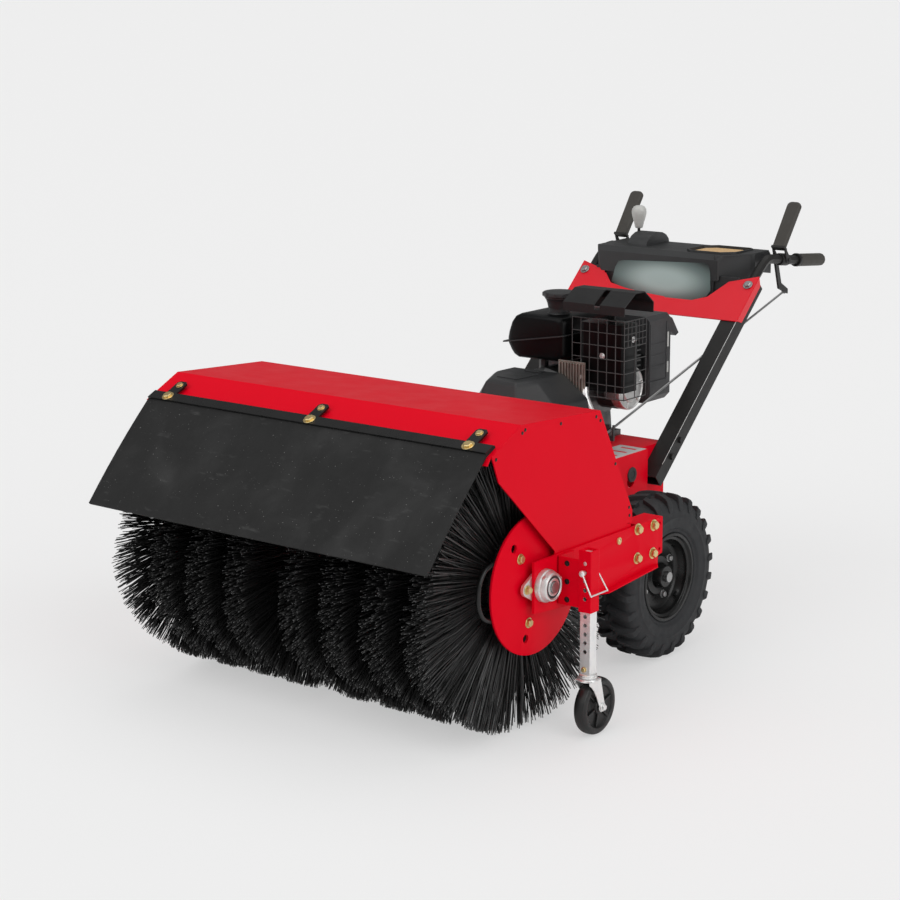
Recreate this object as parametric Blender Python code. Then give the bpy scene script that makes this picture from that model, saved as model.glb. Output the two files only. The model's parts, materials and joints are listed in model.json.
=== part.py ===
"""Walk-behind rotary brush machine, built as separate named pieces on their joint axes.

Metres, +Z up. Pieces are drawn in the machine's own frame, with Y = 0 on the brush axis,
the front at -Y, the operator at +Y, and X = 0 on the centre line. At the end everything
moves back by half the overall length, so that the origin is under the middle.
"""

import math

import bmesh
import bpy
from mathutils import Matrix, Vector

# Clearances
GAP = 0.0003
RUNNING = 0.0004
FUSE = 0.001

# Brush
BRUSH_RADIUS = 0.337
FLOOR_CLEARANCE = 0.003
CORE_RADIUS = 0.100
CORE_WALL = 0.004
CORE_INNER_X = 0.045
CORE_OVERRUN = 0.005
SHAFT_RADIUS = 0.0125
SHAFT_REACH = 0.035
WAFERS_PER_SIDE = 4
WAFER_FIRST_X = 0.082
WAFER_END_GAP = 0.0521
WAFER_WIDTH = 0.050
BACKING_THICKNESS = 0.016
BACKING_SIDES = 19
STRAND_ROWS = 2
STRAND_SIZE = 0.0055
STRAND_SPREAD = 0.036
STRAND_LEAN = 0.022
STRAND_WAVES = 5

# End discs and their wafer hoops
DISC_RADIUS = 0.156
DISC_THICKNESS = 0.006
DISC_SIDE_GAP = 0.017
DISC_HUB_RADIUS = 0.030
DISC_BOLT_RADIUS = 0.085
DISC_HOLE_RADIUS = 0.120
DISC_HOLE_SIZE = 0.011
HOOP_ROD_RADIUS = 0.0055
HOOP_REACH = 0.185
HOOP_HALF_WIDTH = 0.062
HOOP_SEAT_INSET = 0.030
HOOP_SHOULDER = 0.020
DISC_HEAD_RADIUS = 0.009
DISC_HEAD_HEIGHT = 0.005

# Hood
HOOD_WIDTH = 1.000
HOOD_SHEET = 0.003
HOOD_FRONT_CLEARANCE = 0.018
HOOD_TOP_CLEARANCE = 0.017
HOOD_REAR_CLEARANCE = 0.0105
HOOD_TAIL_CLEARANCE = 0.006
HOOD_FRONT_ANGLE = math.radians(116.1)
HOOD_TOP_ANGLE = math.radians(86.8)
HOOD_REAR_ANGLE = math.radians(27.8)
HOOD_NOSE = 0.113
HOOD_LIP = 0.021
HOOD_TAIL = 0.030
SIDE_FRONT_LOW = (-0.152, 0.250)
SIDE_BOTTOM_FRONT = (0.051, 0.059)
SIDE_BOTTOM_RISE = 0.009
SIDE_TAB_INSETS = (0.093, 0.018)
SIDE_TAB_DROP = 0.042

# Flap and its strap
FLAP_SIDE_GAP = 0.011
FLAP_THICKNESS = 0.006
FLAP_START = 0.083
FLAP_LENGTH = 0.318
FLAP_TOP_ANGLE = 44.0
FLAP_END_ANGLE = 49.0
STRAP_WIDTH = 0.027
STRAP_THICKNESS = 0.0045
STRAP_START = 0.0885
STRAP_TAB_TOP = 0.044
STRAP_TAB_WIDTH = 0.030
STRAP_TAB_CORNER = 0.006
STRAP_BOLT_INSET = 0.065
STRAP_BOLT_RADIUS = 0.009
STRAP_BOLT_HEIGHT = 0.006
TAB_BOLT_RADIUS = 0.0065
TAB_BOLT_HEIGHT = 0.004

# Arms, cross member and pivot
ARM_PLATE = 0.006
ARM_TOP_RISE = 0.057
ARM_FRONT_Y = -0.037
ARM_FRONT_DROP = 0.055
ARM_BELLY_DROP = 0.070
ARM_TAIL = 0.100
ARM_REAR_DROP = 0.052
ARM_LIP = 0.014
ARM_BELLY_Y = (0.080, 0.205)
ARM_BELLY_RISE = 0.004
ARM_NOTCH = (0.018, 0.020)
ARM_LIP_RAMP = 0.020
ARM_FLANGE = 0.045
ARM_FLANGE_LENGTH = 0.100
CROSS_TUBE = 0.050
CROSS_WALL = 0.004
CROSS_CLEARANCE = 0.023
CROSS_RISE = 0.0254
CROSS_PLATE = 0.006
CROSS_PLATE_HEIGHT = 0.088
CROSS_PLATE_LENGTH = 0.092
PIVOT_RADIUS = 0.010
PIVOT_EAR_THICKNESS = 0.008
PIVOT_EAR_HALF_WIDTH = 0.060
HEAD_BOLT_RADIUS = 0.010
HEAD_BOLT_HEIGHT = 0.009

# Bearings and gear case
BEARING_BODY_RADIUS = 0.036
BEARING_FLANGE = 0.008
BEARING_EAR_Y = 0.052
BEARING_EAR_RADIUS = 0.015
BEARING_OUT = 0.026
GEAR_CASE_RADIUS = 0.060
GEAR_CASE_HALF_WIDTH = 0.034
GEAR_NECK_RADIUS = 0.026
GEAR_FLANGE = 0.008

# Casters
CASTER_OUT = 0.078
CASTER_Y = 0.061
SLEEVE_SIZE = 0.0318
STEM_SIZE = 0.0254
SLEEVE_TOP_RISE = 0.077
SLEEVE_LENGTH = 0.136
SLEEVE_PLATE = 0.004
STEM_HOLE_RADIUS = 0.005
STEM_HOLE_PITCH = 0.0195
STEM_HOLES = (0, -5, -6, -7, -8, -9)
CASTER_RADIUS = 0.0635
CASTER_WIDTH = 0.032
CASTER_TRAIL = 0.0265
CASTER_AXLE_RADIUS = 0.006
FORK_PLATE = 0.003
FORK_TOP_RISE = 0.070
FORK_HALF_LENGTH = 0.022
RACE_RADIUS = 0.020
RACE_HEIGHT = 0.008
PIN_RADIUS = 0.004
PIN_DROP = 0.048
BAIL_RADIUS = 0.0019
BAIL_DROP = 0.045

# Drive wheels
TYRE_RADIUS = 0.199
TYRE_WIDTH = 0.120
TYRE_WALL = 0.008
LUG_HEIGHT = 0.011
LUGS_PER_ROW = 16
LUG_SHOULDER_DROP = 0.007
LUG_HALF_ANGLE = math.radians(3.3)
RIM_RADIUS = 0.1025
RIM_FLANGE = 0.0035
RIM_SEAT_GAP = 0.0018
RIM_SHEET = 0.004
WHEEL_X = 0.3695
HUB_RADIUS = 0.030
HUB_HALF_LENGTH = 0.042
AXLE_RADIUS = 0.0125
AXLE_END_X = 0.4205

# Chassis
CHASSIS_HALF_WIDTH = 0.250
CHASSIS_FRONT_GAP = 0.075
CHASSIS_LENGTH = 0.330
CHASSIS_TAIL = 0.110
CHASSIS_TAIL_HALF_WIDTH = 0.2265
CHASSIS_TOP = 0.461
CHASSIS_SIDE_HOLE = 0.016
CHASSIS_BOTTOM = 0.305
CHASSIS_WALL = 0.004
WHEEL_BEHIND_PIVOT = 0.245
AXLE_LUG_HALF_LENGTH = 0.050
GEARBOX_HALF_WIDTH = 0.070
GEARBOX_HALF_LENGTH = 0.085

# Engine
COVER_FRONT = 0.100
COVER_LENGTH = 0.205
COVER_LEFT_X = 0.165
COVER_RIGHT_X = -0.115
COVER_HEIGHT = 0.222
COVER_CHAMFERS = (0.050, 0.085)
COVER_LEVELS = ((0.060, 0.006, 0.010), (0.022, 0.016, 0.026), (0.0, 0.044, 0.078))
GUIDE_SHEET = 0.006
GUIDE_LIP = 0.004
GUIDE_BACK = 0.024
GUIDE_ROOT = 0.012
GUIDE_Z = (-0.028, -0.016, 0.012)
ENGINE_GAP = 0.001
ENGINE_LENGTH = 0.215
ENGINE_X = -0.005
CRANK_RISE = 0.098
CRANKCASE_RADIUS = 0.088
CYLINDER_SIZE = 0.090
CYLINDER_CLEARANCE = 0.008
FIN_COUNT = 6
FIN_PITCH = 0.013
FIN_THICKNESS = 0.004
ENGINE_FOOT = (0.028, 0.014, 0.016)
SIDE_COVER_RADIUS = 0.050
SIDE_COVER_RISE = 0.125
SIDE_COVER_REACH = 0.045
TANK_START = 0.010
TANK_REAR_GAP = 0.007
TANK_LEFT_X = 0.056
TANK_RIGHT_X = -0.134
TANK_LOW = 0.204
TANK_HIGH = 0.318
TANK_SEAM = 0.004
CAP_RADIUS = 0.044
CAP_HEIGHT = 0.038
CAP_RIBS = 10
CAP_Y = 0.375
CAP_X = 0.002
NECK_RADIUS = 0.026
GUARD_LOW_X = 0.080
GUARD_HIGH_X = 0.236
GUARD_LENGTH = 0.098
GUARD_LOW = 0.131
GUARD_HIGH = 0.326
GUARD_BAR = 0.003
GUARD_COLUMNS = 5
GUARD_ROWS = 5
GUARD_SIDE_COLUMNS = 2
MUFFLER_INSET = 0.014
MUFFLER_CORNER = 0.012
MUFFLER_PIPE_RADIUS = 0.012
MUFFLER_PIPE = (0.032, 0.095)
GUARD_STANDOFF = 0.030
GUARD_STANDOFF_RADIUS = 0.004
ROOF_BRACKET = (0.050, 0.070)
ROOF_FOOT_SHEET = 0.004
ROOF_OVERHANG = (0.014, 0.016)
ROOF_LIFT = 0.014
ROOF_RISES = (0.022, 0.052)
ROOF_CREST = (-0.016, 0.024)
ROOF_DROP = 0.004
ROOF_SLOT_X = (0.091, 0.108)
ROOF_SLOT_RISE = 0.010
TANK_POST_RADIUS = 0.012
TANK_POST_INSET = 0.060
FAN_BOSS_RADIUS = 0.040
ROOF_LOW_X = 0.064
ROOF_HIGH_X = 0.244
ROOF_SHEET = 0.002
BLOWER_GAP = 0.014
BLOWER_LENGTH = 0.098
BLOWER_HALF_WIDTH = 0.165
BLOWER_TOP = 0.302
BLOWER_LOW = 0.075
COWL_REACH = 0.048
BLOWER_CHAMFER = 0.030
BLOWER_FOOT_CHAMFER = 0.060
STARTER_RADIUS = 0.100
STARTER_DEPTH = 0.026
ROPE_HOLE_MARGIN = 0.006
PULL_GRIP_BACK = 0.010
PULL_GRIP_HALF = 0.040
PULL_GRIP_RADII = (0.007, 0.009)

# Handles and console
LEG_WIDTH = 0.046
LEG_DEPTH = 0.037
LEG_WALL = 0.003
LEG_FOOT = (0.4195, 0.3786)
LEG_ANGLE = math.radians(42.8)
LEG_LENGTH = 0.642
LEG_BOLTS = (0.078, 0.130)
LEG_HEAD_RADIUS = 0.008
LEG_HEAD_HEIGHT = 0.006
BRACKET_SHEET = 0.003
BRACKET_BELOW_END = 0.143
BRACKET_PAST_END = 0.008
BRACKET_WRAP = 0.020
BRACKET_CUT_X = (0.080, 0.120, 0.160)
BRACKET_CUT_DROP = (0.026, 0.082, 0.098)
BRACKET_BOLT = (0.020, 0.032)
BRACKET_HEAD_HEIGHT = 0.005
BRACKET_FOLD_LEAD = (0.002, 0.014)
CONSOLE_HALF_WIDTH = 0.2245
CONSOLE_DEPTH = 0.168
CONSOLE_LEAD = 0.030
CONSOLE_RISE = 0.0702
CONSOLE_REAR_HEIGHT = 0.060
CONSOLE_WALL = 0.004
CONSOLE_END_WALL = 0.006
CONSOLE_CORNER = 0.020
CONSOLE_TOP_BEVEL = (0.012, 0.014)
CONSOLE_CROWN = 0.003
PANEL_INSET = 0.002
PANEL_TOP_DROP = 0.030
SHIFT_SLOT_HALF = 0.006
SHIFT_EAR_HALF = 0.008
SHIFT_EAR_SHEET = 0.005
SHIFT_PIN_RADIUS = 0.003
PANEL_HALF_WIDTH = 0.149
PANEL_DEPTH = 0.060
PANEL_HEIGHT = 0.143
TRAY_X = (0.045, 0.190)
TRAY_Y = (0.016, 0.148)
BAR_RADIUS = 0.0125
GRIP_RADIUS = 0.017
GRIP_LENGTH = 0.129
GRIP_DIP = math.radians(5.3)
GRIP_OFFSET = (0.236, 0.037)
BAR_BEND = (0.070, 0.0575)
BAR_BEND_RADIUS = 0.016
BAR_INSERTION = 0.060
BAR_STRAIGHT = 0.040
GRIP_END_WALL = 0.009
GRIP_EDGE = 0.006
LEVER_PIN_OVERRUN = 0.002
LEVER_WIDTH = 0.040
LEVER_THICKNESS = 0.016
LEVER_LENGTH = 0.144
LEVER_LEAN = math.radians(53.8)
LEVER_FOOT = (-0.021, 0.030)
CHEEK_THICKNESS = 0.003
CHEEK_RADIUS = 0.011
LEVER_PIN_RADIUS = 0.004
CRANK_THICKNESS = 0.004
CRANK_PIN_RADIUS = 0.0025
CRANK_ARM = (0.062, -0.095)
CRANK_KNEE = (0.022, -0.076)
SHIFT_X = -0.160
SHIFT_BACK = 0.11545
SHIFT_PIVOT_DROP = 0.030
SHIFT_ROD_RADIUS = 0.004
SHIFT_EYE_RADIUS = 0.008
SHIFT_EYE_HALF = 0.0045
SHIFT_LENGTH = 0.131
KNOB_RADIUS = 0.0205
KNOB_LENGTH = 0.058
QUADRANT_RADIUS = 0.058
QUADRANT_X = (-0.150, -0.090)
TRAY_DEPTH = 0.012
TRAY_RIM = 0.006
TRAY_CORNERS = (0.015, 0.020, 0.030)
ROD_RADIUS = 0.003
ROD_SPRING_RADIUS = 0.0037
ROD_SLOPE = 0.292
ROD_EYE_RADIUS = 0.0065
ROD_OVERRUN = 0.045
ROD_SPRING = (0.695, 0.735)
ROD_SPRING_TAPER = 0.004
ROPE_RADIUS = 0.0025
ROPE_LENGTH = 0.085

# Places worked out from the sizes above
AXIS_Z = BRUSH_RADIUS + FLOOR_CLEARANCE
WAFER_BORE = (CORE_RADIUS + GAP) / math.cos(math.pi / BACKING_SIDES)
BACKING_RADIUS = WAFER_BORE + BACKING_THICKNESS
HOOD_SIDE_X = HOOD_WIDTH / 2
SHAFT_END_X = HOOD_SIDE_X + SHAFT_REACH
DISC_OUTER_X = HOOD_SIDE_X - DISC_SIDE_GAP
DISC_INNER_X = DISC_OUTER_X - DISC_THICKNESS
WAFER_LAST_X = DISC_INNER_X - WAFER_END_GAP
WAFER_PITCH = (WAFER_LAST_X - WAFER_FIRST_X) / (WAFERS_PER_SIDE - 1)
CORE_END_X = WAFER_LAST_X + WAFER_WIDTH / 2 + CORE_OVERRUN
FLAP_WIDTH = HOOD_WIDTH - 2 * FLAP_SIDE_GAP
STRAP_BOLT_X = HOOD_SIDE_X - STRAP_BOLT_INSET
CASTER_X = HOOD_SIDE_X + CASTER_OUT
ARM_INNER_X = HOOD_SIDE_X + GAP
ARM_OUTER_X = ARM_INNER_X + ARM_PLATE
ARM_TOP_Z = AXIS_Z + ARM_TOP_RISE
CROSS_FRONT_Y = BRUSH_RADIUS + CROSS_CLEARANCE
ARM_REAR_Y = CROSS_FRONT_Y + ARM_TAIL
HOOD_TAIL_Y = BRUSH_RADIUS + HOOD_TAIL_CLEARANCE
SIDE_TAB_Y = (HOOD_TAIL_Y - SIDE_TAB_INSETS[0], HOOD_TAIL_Y - SIDE_TAB_INSETS[1])
PIVOT_Y = CROSS_FRONT_Y + CROSS_TUBE / 2
CROSS_Z = AXIS_Z + CROSS_RISE
CHASSIS_FRONT_Y = PIVOT_Y + CHASSIS_FRONT_GAP
CHASSIS_REAR_Y = CHASSIS_FRONT_Y + CHASSIS_LENGTH
WHEEL_Y = PIVOT_Y + WHEEL_BEHIND_PIVOT
LUG_SLANT = math.pi / 2 / LUGS_PER_ROW
WHEEL_Z = TYRE_RADIUS * math.cos(LUG_SLANT - LUG_HALF_ANGLE)
DECK_Z = CHASSIS_TOP + GAP
ENGINE_FRONT = COVER_FRONT + COVER_LENGTH + ENGINE_GAP
TANK_FRONT = ENGINE_FRONT + TANK_START
BLOWER_FRONT = ENGINE_FRONT + ENGINE_LENGTH + BLOWER_GAP
TANK_LENGTH = BLOWER_FRONT - TANK_FRONT - TANK_REAR_GAP
SLEEVE_TOP_Z = AXIS_Z + SLEEVE_TOP_RISE
SLEEVE_LOW_Z = SLEEVE_TOP_Z - SLEEVE_LENGTH
FORK_TOP_Z = CASTER_RADIUS + FORK_TOP_RISE
LEG_INNER_X = CHASSIS_TAIL_HALF_WIDTH + GAP
LEG_OUTER_X = LEG_INNER_X + LEG_WIDTH
BAR_X = (LEG_INNER_X + LEG_OUTER_X) / 2
LEG_START = Vector((PIVOT_Y + LEG_FOOT[0], LEG_FOOT[1]))
LEG_ALONG = Vector((math.cos(LEG_ANGLE), math.sin(LEG_ANGLE)))
LEG_UP = Vector((-math.sin(LEG_ANGLE), math.cos(LEG_ANGLE)))
LEG_END = LEG_START + LEG_ALONG * LEG_LENGTH
BAR_SEAT = LEG_DEPTH / 2 - LEG_WALL - GAP - BAR_RADIUS
BRACKET_LOW = LEG_LENGTH - BRACKET_BELOW_END
BRACKET_TOP = LEG_LENGTH + BRACKET_PAST_END
GRIP_START = LEG_END + Vector(GRIP_OFFSET)
GRIP_ALONG = Vector((math.cos(GRIP_DIP), -math.sin(GRIP_DIP)))
BAR_CREST = LEG_END + Vector(BAR_BEND)
LEVER_PIVOT = BAR_CREST.lerp(GRIP_START, 0.5)
CRANK_END = LEVER_PIVOT + Vector(CRANK_ARM)
CHEEK_X = BAR_X - LEVER_WIDTH / 2
CRANK_X = CHEEK_X - CRANK_THICKNESS
ROD_X = CRANK_X - GAP - ROD_RADIUS
CONSOLE_FRONT_Y = LEG_END.x - CONSOLE_LEAD
CONSOLE_TOP = LEG_END.y + CONSOLE_RISE
PANEL_LOW = CONSOLE_TOP - PANEL_HEIGHT
SHIFT_PIVOT = Vector((CONSOLE_FRONT_Y + SHIFT_BACK, CONSOLE_TOP - SHIFT_PIVOT_DROP))

MATERIALS = {
    "red_paint": ((0.62, 0.005, 0.012), 0.25, 0.0),
    "black_paint": ((0.012, 0.012, 0.013), 0.3, 0.0),
    "rubber": ((0.02, 0.02, 0.021), 0.75, 0.0),
    "bristle": ((0.012, 0.012, 0.012), 0.45, 0.0),
    "zinc": ((0.55, 0.55, 0.56), 0.3, 1.0),
    "cast_aluminium": ((0.6, 0.61, 0.62), 0.4, 1.0),
    "black_plastic": ((0.02, 0.021, 0.022), 0.5, 0.0),
    "steel": ((0.35, 0.35, 0.36), 0.35, 1.0),
    "grey_plastic": ((0.4, 0.4, 0.41), 0.45, 0.0),
}


# Mesh tools


def clear_scene():
    """Remove whatever the file held."""
    for obj in list(bpy.data.objects):
        bpy.data.objects.remove(obj, do_unlink=True)


def solid(bm):
    """Turn a closed bmesh into an object with its faces pointing out."""
    bmesh.ops.recalc_face_normals(bm, faces=bm.faces)
    mesh = bpy.data.meshes.new("solid")
    bm.to_mesh(mesh)
    bm.free()
    obj = bpy.data.objects.new("solid", mesh)
    bpy.context.collection.objects.link(obj)
    return obj


def add_prism(bm, corners, depth):
    """Add the prism between an outline in space and its copy moved by depth."""
    low = [bm.verts.new(corner) for corner in corners]
    high = [bm.verts.new(corner + depth) for corner in corners]
    count = len(corners)
    bm.faces.new(low)
    bm.faces.new(list(reversed(high)))
    for i in range(count):
        j = (i + 1) % count
        bm.faces.new((low[i], low[j], high[j], high[i]))


def prism(corners, depth):
    """One prism as an object."""
    bm = bmesh.new()
    add_prism(bm, corners, depth)
    return solid(bm)


def side_prism(outline, x_low, x_high):
    """A prism whose outline is drawn in (Y, Z) and which runs along X."""
    corners = [Vector((x_low, y, z)) for y, z in outline]
    return prism(corners, Vector((x_high - x_low, 0, 0)))


def front_prism(outline, y_low, y_high):
    """A prism whose outline is drawn in (X, Z) and which runs along Y."""
    corners = [Vector((x, y_low, z)) for x, z in outline]
    return prism(corners, Vector((0, y_high - y_low, 0)))


def plan_prism(outline, z_low, z_high):
    """A prism whose outline is drawn in (X, Y) and which runs along Z."""
    corners = [Vector((x, y, z_low)) for x, y in outline]
    return prism(corners, Vector((0, 0, z_high - z_low)))


def rectangle(low_a, high_a, low_b, high_b):
    """The four corners of a rectangle."""
    return [(low_a, low_b), (high_a, low_b), (high_a, high_b), (low_a, high_b)]


def block(low, high):
    """A box between two opposite corners."""
    return plan_prism(rectangle(low[0], high[0], low[1], high[1]), low[2], high[2])


def circle(radius, count, centre=(0.0, 0.0), turn=0.0):
    """Points round a circle."""
    points = []
    for i in range(count):
        angle = turn + 2 * math.pi * i / count
        points.append((centre[0] + radius * math.cos(angle), centre[1] + radius * math.sin(angle)))
    return points


def side_frame(direction):
    """Two unit vectors square to a direction."""
    direction = direction.normalized()
    helper = Vector((0, 0, 1)) if abs(direction.z) < 0.9 else Vector((0, 1, 0))
    first = direction.cross(helper).normalized()
    return first, direction.cross(first)


def revolve(profile, segments, origin, direction, closed=True, turn=0.0):
    """Turn (distance, radius) points about an axis; an open profile ends on the axis."""
    bm = bmesh.new()
    origin = Vector(origin)
    direction = Vector(direction).normalized()
    first, second = side_frame(direction)
    rings = []
    for distance, radius in profile:
        centre = origin + direction * distance
        if radius == 0.0:
            rings.append([bm.verts.new(centre)])
            continue
        ring = []
        for i in range(segments):
            angle = turn + 2 * math.pi * i / segments
            offset = first * math.cos(angle) + second * math.sin(angle)
            ring.append(bm.verts.new(centre + offset * radius))
        rings.append(ring)
    pairs = list(zip(rings, rings[1:]))
    if closed:
        pairs.append((rings[-1], rings[0]))
    for one, two in pairs:
        for i in range(segments):
            j = (i + 1) % segments
            if len(one) == 1:
                bm.faces.new((one[0], two[i], two[j]))
            elif len(two) == 1:
                bm.faces.new((one[i], one[j], two[0]))
            else:
                bm.faces.new((one[i], one[j], two[j], two[i]))
    return solid(bm)


def cylinder(radius, start, end, segments=16, turn=0.0):
    """A round bar from one point to another."""
    start = Vector(start)
    end = Vector(end)
    length = (end - start).length
    profile = [(0.0, 0.0), (0.0, radius), (length, radius), (length, 0.0)]
    return revolve(profile, segments, start, end - start, closed=False, turn=turn)


def sweep(path, radii, sides):
    """A round bar along a path of points, with a radius at each point."""
    points = [Vector(point) for point in path]
    if not isinstance(radii, (list, tuple)):
        radii = [radii] * len(points)
    bm = bmesh.new()
    rings = []
    first = None
    for i, point in enumerate(points):
        before = points[max(i - 1, 0)]
        after = points[min(i + 1, len(points) - 1)]
        along = (after - before).normalized()
        if first is None:
            first = side_frame(along)[0]
        first = (first - along * first.dot(along)).normalized()
        second = along.cross(first)
        ring = []
        for k in range(sides):
            angle = 2 * math.pi * k / sides
            offset = first * math.cos(angle) + second * math.sin(angle)
            ring.append(bm.verts.new(point + offset * radii[i]))
        rings.append(ring)
    for one, two in zip(rings, rings[1:]):
        for k in range(sides):
            j = (k + 1) % sides
            bm.faces.new((one[k], one[j], two[j], two[k]))
    bm.faces.new(rings[0])
    bm.faces.new(rings[-1])
    return solid(bm)


def bend(points, radius, steps=4):
    """Round the inner corners of a path with arcs of about one radius."""
    corners = [Vector(point) for point in points]
    path = [corners[0]]
    for before, corner, after in zip(corners, corners[1:], corners[2:]):
        inward = (before - corner).normalized()
        outward = (after - corner).normalized()
        start = corner + inward * radius
        end = corner + outward * radius
        for step in range(steps + 1):
            t = step / steps
            point = start * (1 - t) ** 2 + corner * 2 * t * (1 - t) + end * t ** 2
            path.append(point)
    path.append(corners[-1])
    return path


def thicken(path, thickness):
    """The closed outline of a bent sheet whose first face follows a path."""
    points = [Vector(point) for point in path]
    offset = []
    for i, point in enumerate(points):
        normals = []
        for a, b in ((i - 1, i), (i, i + 1)):
            if a < 0 or b >= len(points):
                continue
            along = (points[b] - points[a]).normalized()
            normals.append(Vector((along.y, -along.x)))
        middle = (normals[0] + normals[-1]).normalized()
        offset.append(point + middle * thickness / middle.dot(normals[0]))
    return [tuple(point) for point in points + list(reversed(offset))]


def join(objects):
    """Put several separate solids into one object."""
    bm = bmesh.new()
    for obj in objects:
        bm.from_mesh(obj.data)
        bpy.data.objects.remove(obj, do_unlink=True)
    return solid(bm)


def boolean(base, tools, operation):
    """Unite the base with the tools, or cut them from it, and drop the tools."""
    tool = join(tools) if len(tools) > 1 else tools[0]
    modifier = base.modifiers.new("Boolean", "BOOLEAN")
    modifier.operation = operation
    modifier.solver = "EXACT"
    modifier.object = tool
    bpy.context.view_layer.update()
    graph = bpy.context.evaluated_depsgraph_get()
    mesh = bpy.data.meshes.new_from_object(base.evaluated_get(graph))
    base.modifiers.clear()
    base.data = mesh
    bpy.data.objects.remove(tool, do_unlink=True)
    return base


def unite(base, *tools):
    """Fuse tools into the base, one at a time where they may touch each other."""
    for tool in tools:
        boolean(base, [tool], "UNION")
    return base


def cut(base, *tools):
    """Cut separate tools from the base."""
    return boolean(base, list(tools), "DIFFERENCE")


def round_edges(obj, width, chooser, segments=2):
    """Bevel the edges that a test picks by their two ends."""
    bm = bmesh.new()
    bm.from_mesh(obj.data)
    edges = [edge for edge in bm.edges if chooser(edge.verts[0].co, edge.verts[1].co)]
    bmesh.ops.bevel(bm, geom=edges, offset=width, segments=segments, profile=0.5, affect="EDGES")
    bm.to_mesh(obj.data)
    bm.free()
    return obj


def hex_heads(places, axis, radius, height):
    """Hexagon bolt heads that stand on a face, each sunk a little to fuse with it."""
    axis = Vector(axis)
    heads = []
    for place in places:
        start = Vector(place) - axis * FUSE
        heads.append(cylinder(radius, start, Vector(place) + axis * height, segments=6))
    return join(heads)


# Brush


def tangent_corner(angle_a, distance_a, angle_b, distance_b):
    """Where two lines, each given by its normal angle and distance, meet."""
    determinant = math.sin(angle_b - angle_a)
    y = (distance_a * math.sin(angle_b) - distance_b * math.sin(angle_a)) / determinant
    z = (distance_b * math.cos(angle_a) - distance_a * math.cos(angle_b)) / determinant
    return Vector((y, AXIS_Z + z))


def brush_shaft():
    """The shaft with its two open core tubes."""
    half = [
        (CORE_END_X - CORE_WALL, SHAFT_RADIUS),
        (CORE_END_X - CORE_WALL, CORE_RADIUS - CORE_WALL),
        (CORE_INNER_X, CORE_RADIUS - CORE_WALL),
        (CORE_INNER_X, CORE_RADIUS),
        (CORE_END_X, CORE_RADIUS),
        (CORE_END_X, SHAFT_RADIUS),
        (SHAFT_END_X, SHAFT_RADIUS),
        (SHAFT_END_X, 0.0),
    ]
    profile = [(-x, r) for x, r in reversed(half)] + half
    return revolve(profile, 16, (0, 0, AXIS_Z), (1, 0, 0), closed=False)


def wafer(centre_x, phase):
    """One wavy wafer: a backing ring with two rows of bristle strands fused to it."""
    bm = bmesh.new()
    edges_x = [centre_x - WAFER_WIDTH / 2, centre_x, centre_x + WAFER_WIDTH / 2]

    def ring(x, radius):
        points = circle(radius, BACKING_SIDES, (0, AXIS_Z), turn=phase)
        return [bm.verts.new((x, y, z)) for y, z in points]

    outer = [ring(x, BACKING_RADIUS) for x in edges_x]
    inner = [ring(edges_x[0], WAFER_BORE), ring(edges_x[2], WAFER_BORE)]
    step = 2 * math.pi / BACKING_SIDES
    for i in range(BACKING_SIDES):
        j = (i + 1) % BACKING_SIDES
        bm.faces.new((inner[0][i], inner[0][j], inner[1][j], inner[1][i]))
        bm.faces.new((outer[0][i], outer[0][j], inner[0][j], inner[0][i]))
        bm.faces.new((inner[1][i], inner[1][j], outer[2][j], outer[2][i]))
        for row in range(STRAND_ROWS):
            corners = (outer[row][i], outer[row + 1][i], outer[row + 1][j], outer[row][j])
            angle = phase + step * (i - 0.25 + 0.5 * row)
            lean = STRAND_LEAN * math.sin(STRAND_WAVES * angle)
            tip_x = centre_x + (row - 0.5) * STRAND_SPREAD + lean
            add_strand(bm, corners, tip_x, angle)
    return solid(bm)


def add_strand(bm, corners, tip_x, angle):
    """Grow one three-sided strand from the first corner of a face of the backing."""
    first, second, third, fourth = corners
    outward = Vector((0, math.cos(angle), math.sin(angle)))
    across = Vector((STRAND_SIZE, 0, 0))
    around = (fourth.co - first.co).normalized() * STRAND_SIZE
    tip = Vector((tip_x, 0, AXIS_Z)) + outward * (BRUSH_RADIUS - FUSE)
    corner_offsets = (Vector(), across + around * 0.25, across * 0.25 + around)
    low = [first]
    low += [bm.verts.new(first.co + offset) for offset in corner_offsets[1:]]
    high = [bm.verts.new(tip + offset) for offset in corner_offsets]
    for k in range(3):
        m = (k + 1) % 3
        bm.faces.new((low[k], low[m], high[m], high[k]))
    bm.faces.new(high)
    bm.faces.new((first, second, low[1]))
    bm.faces.new((second, third, low[1]))
    bm.faces.new((third, low[2], low[1]))
    bm.faces.new((third, fourth, low[2]))
    bm.faces.new((fourth, first, low[2]))


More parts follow.
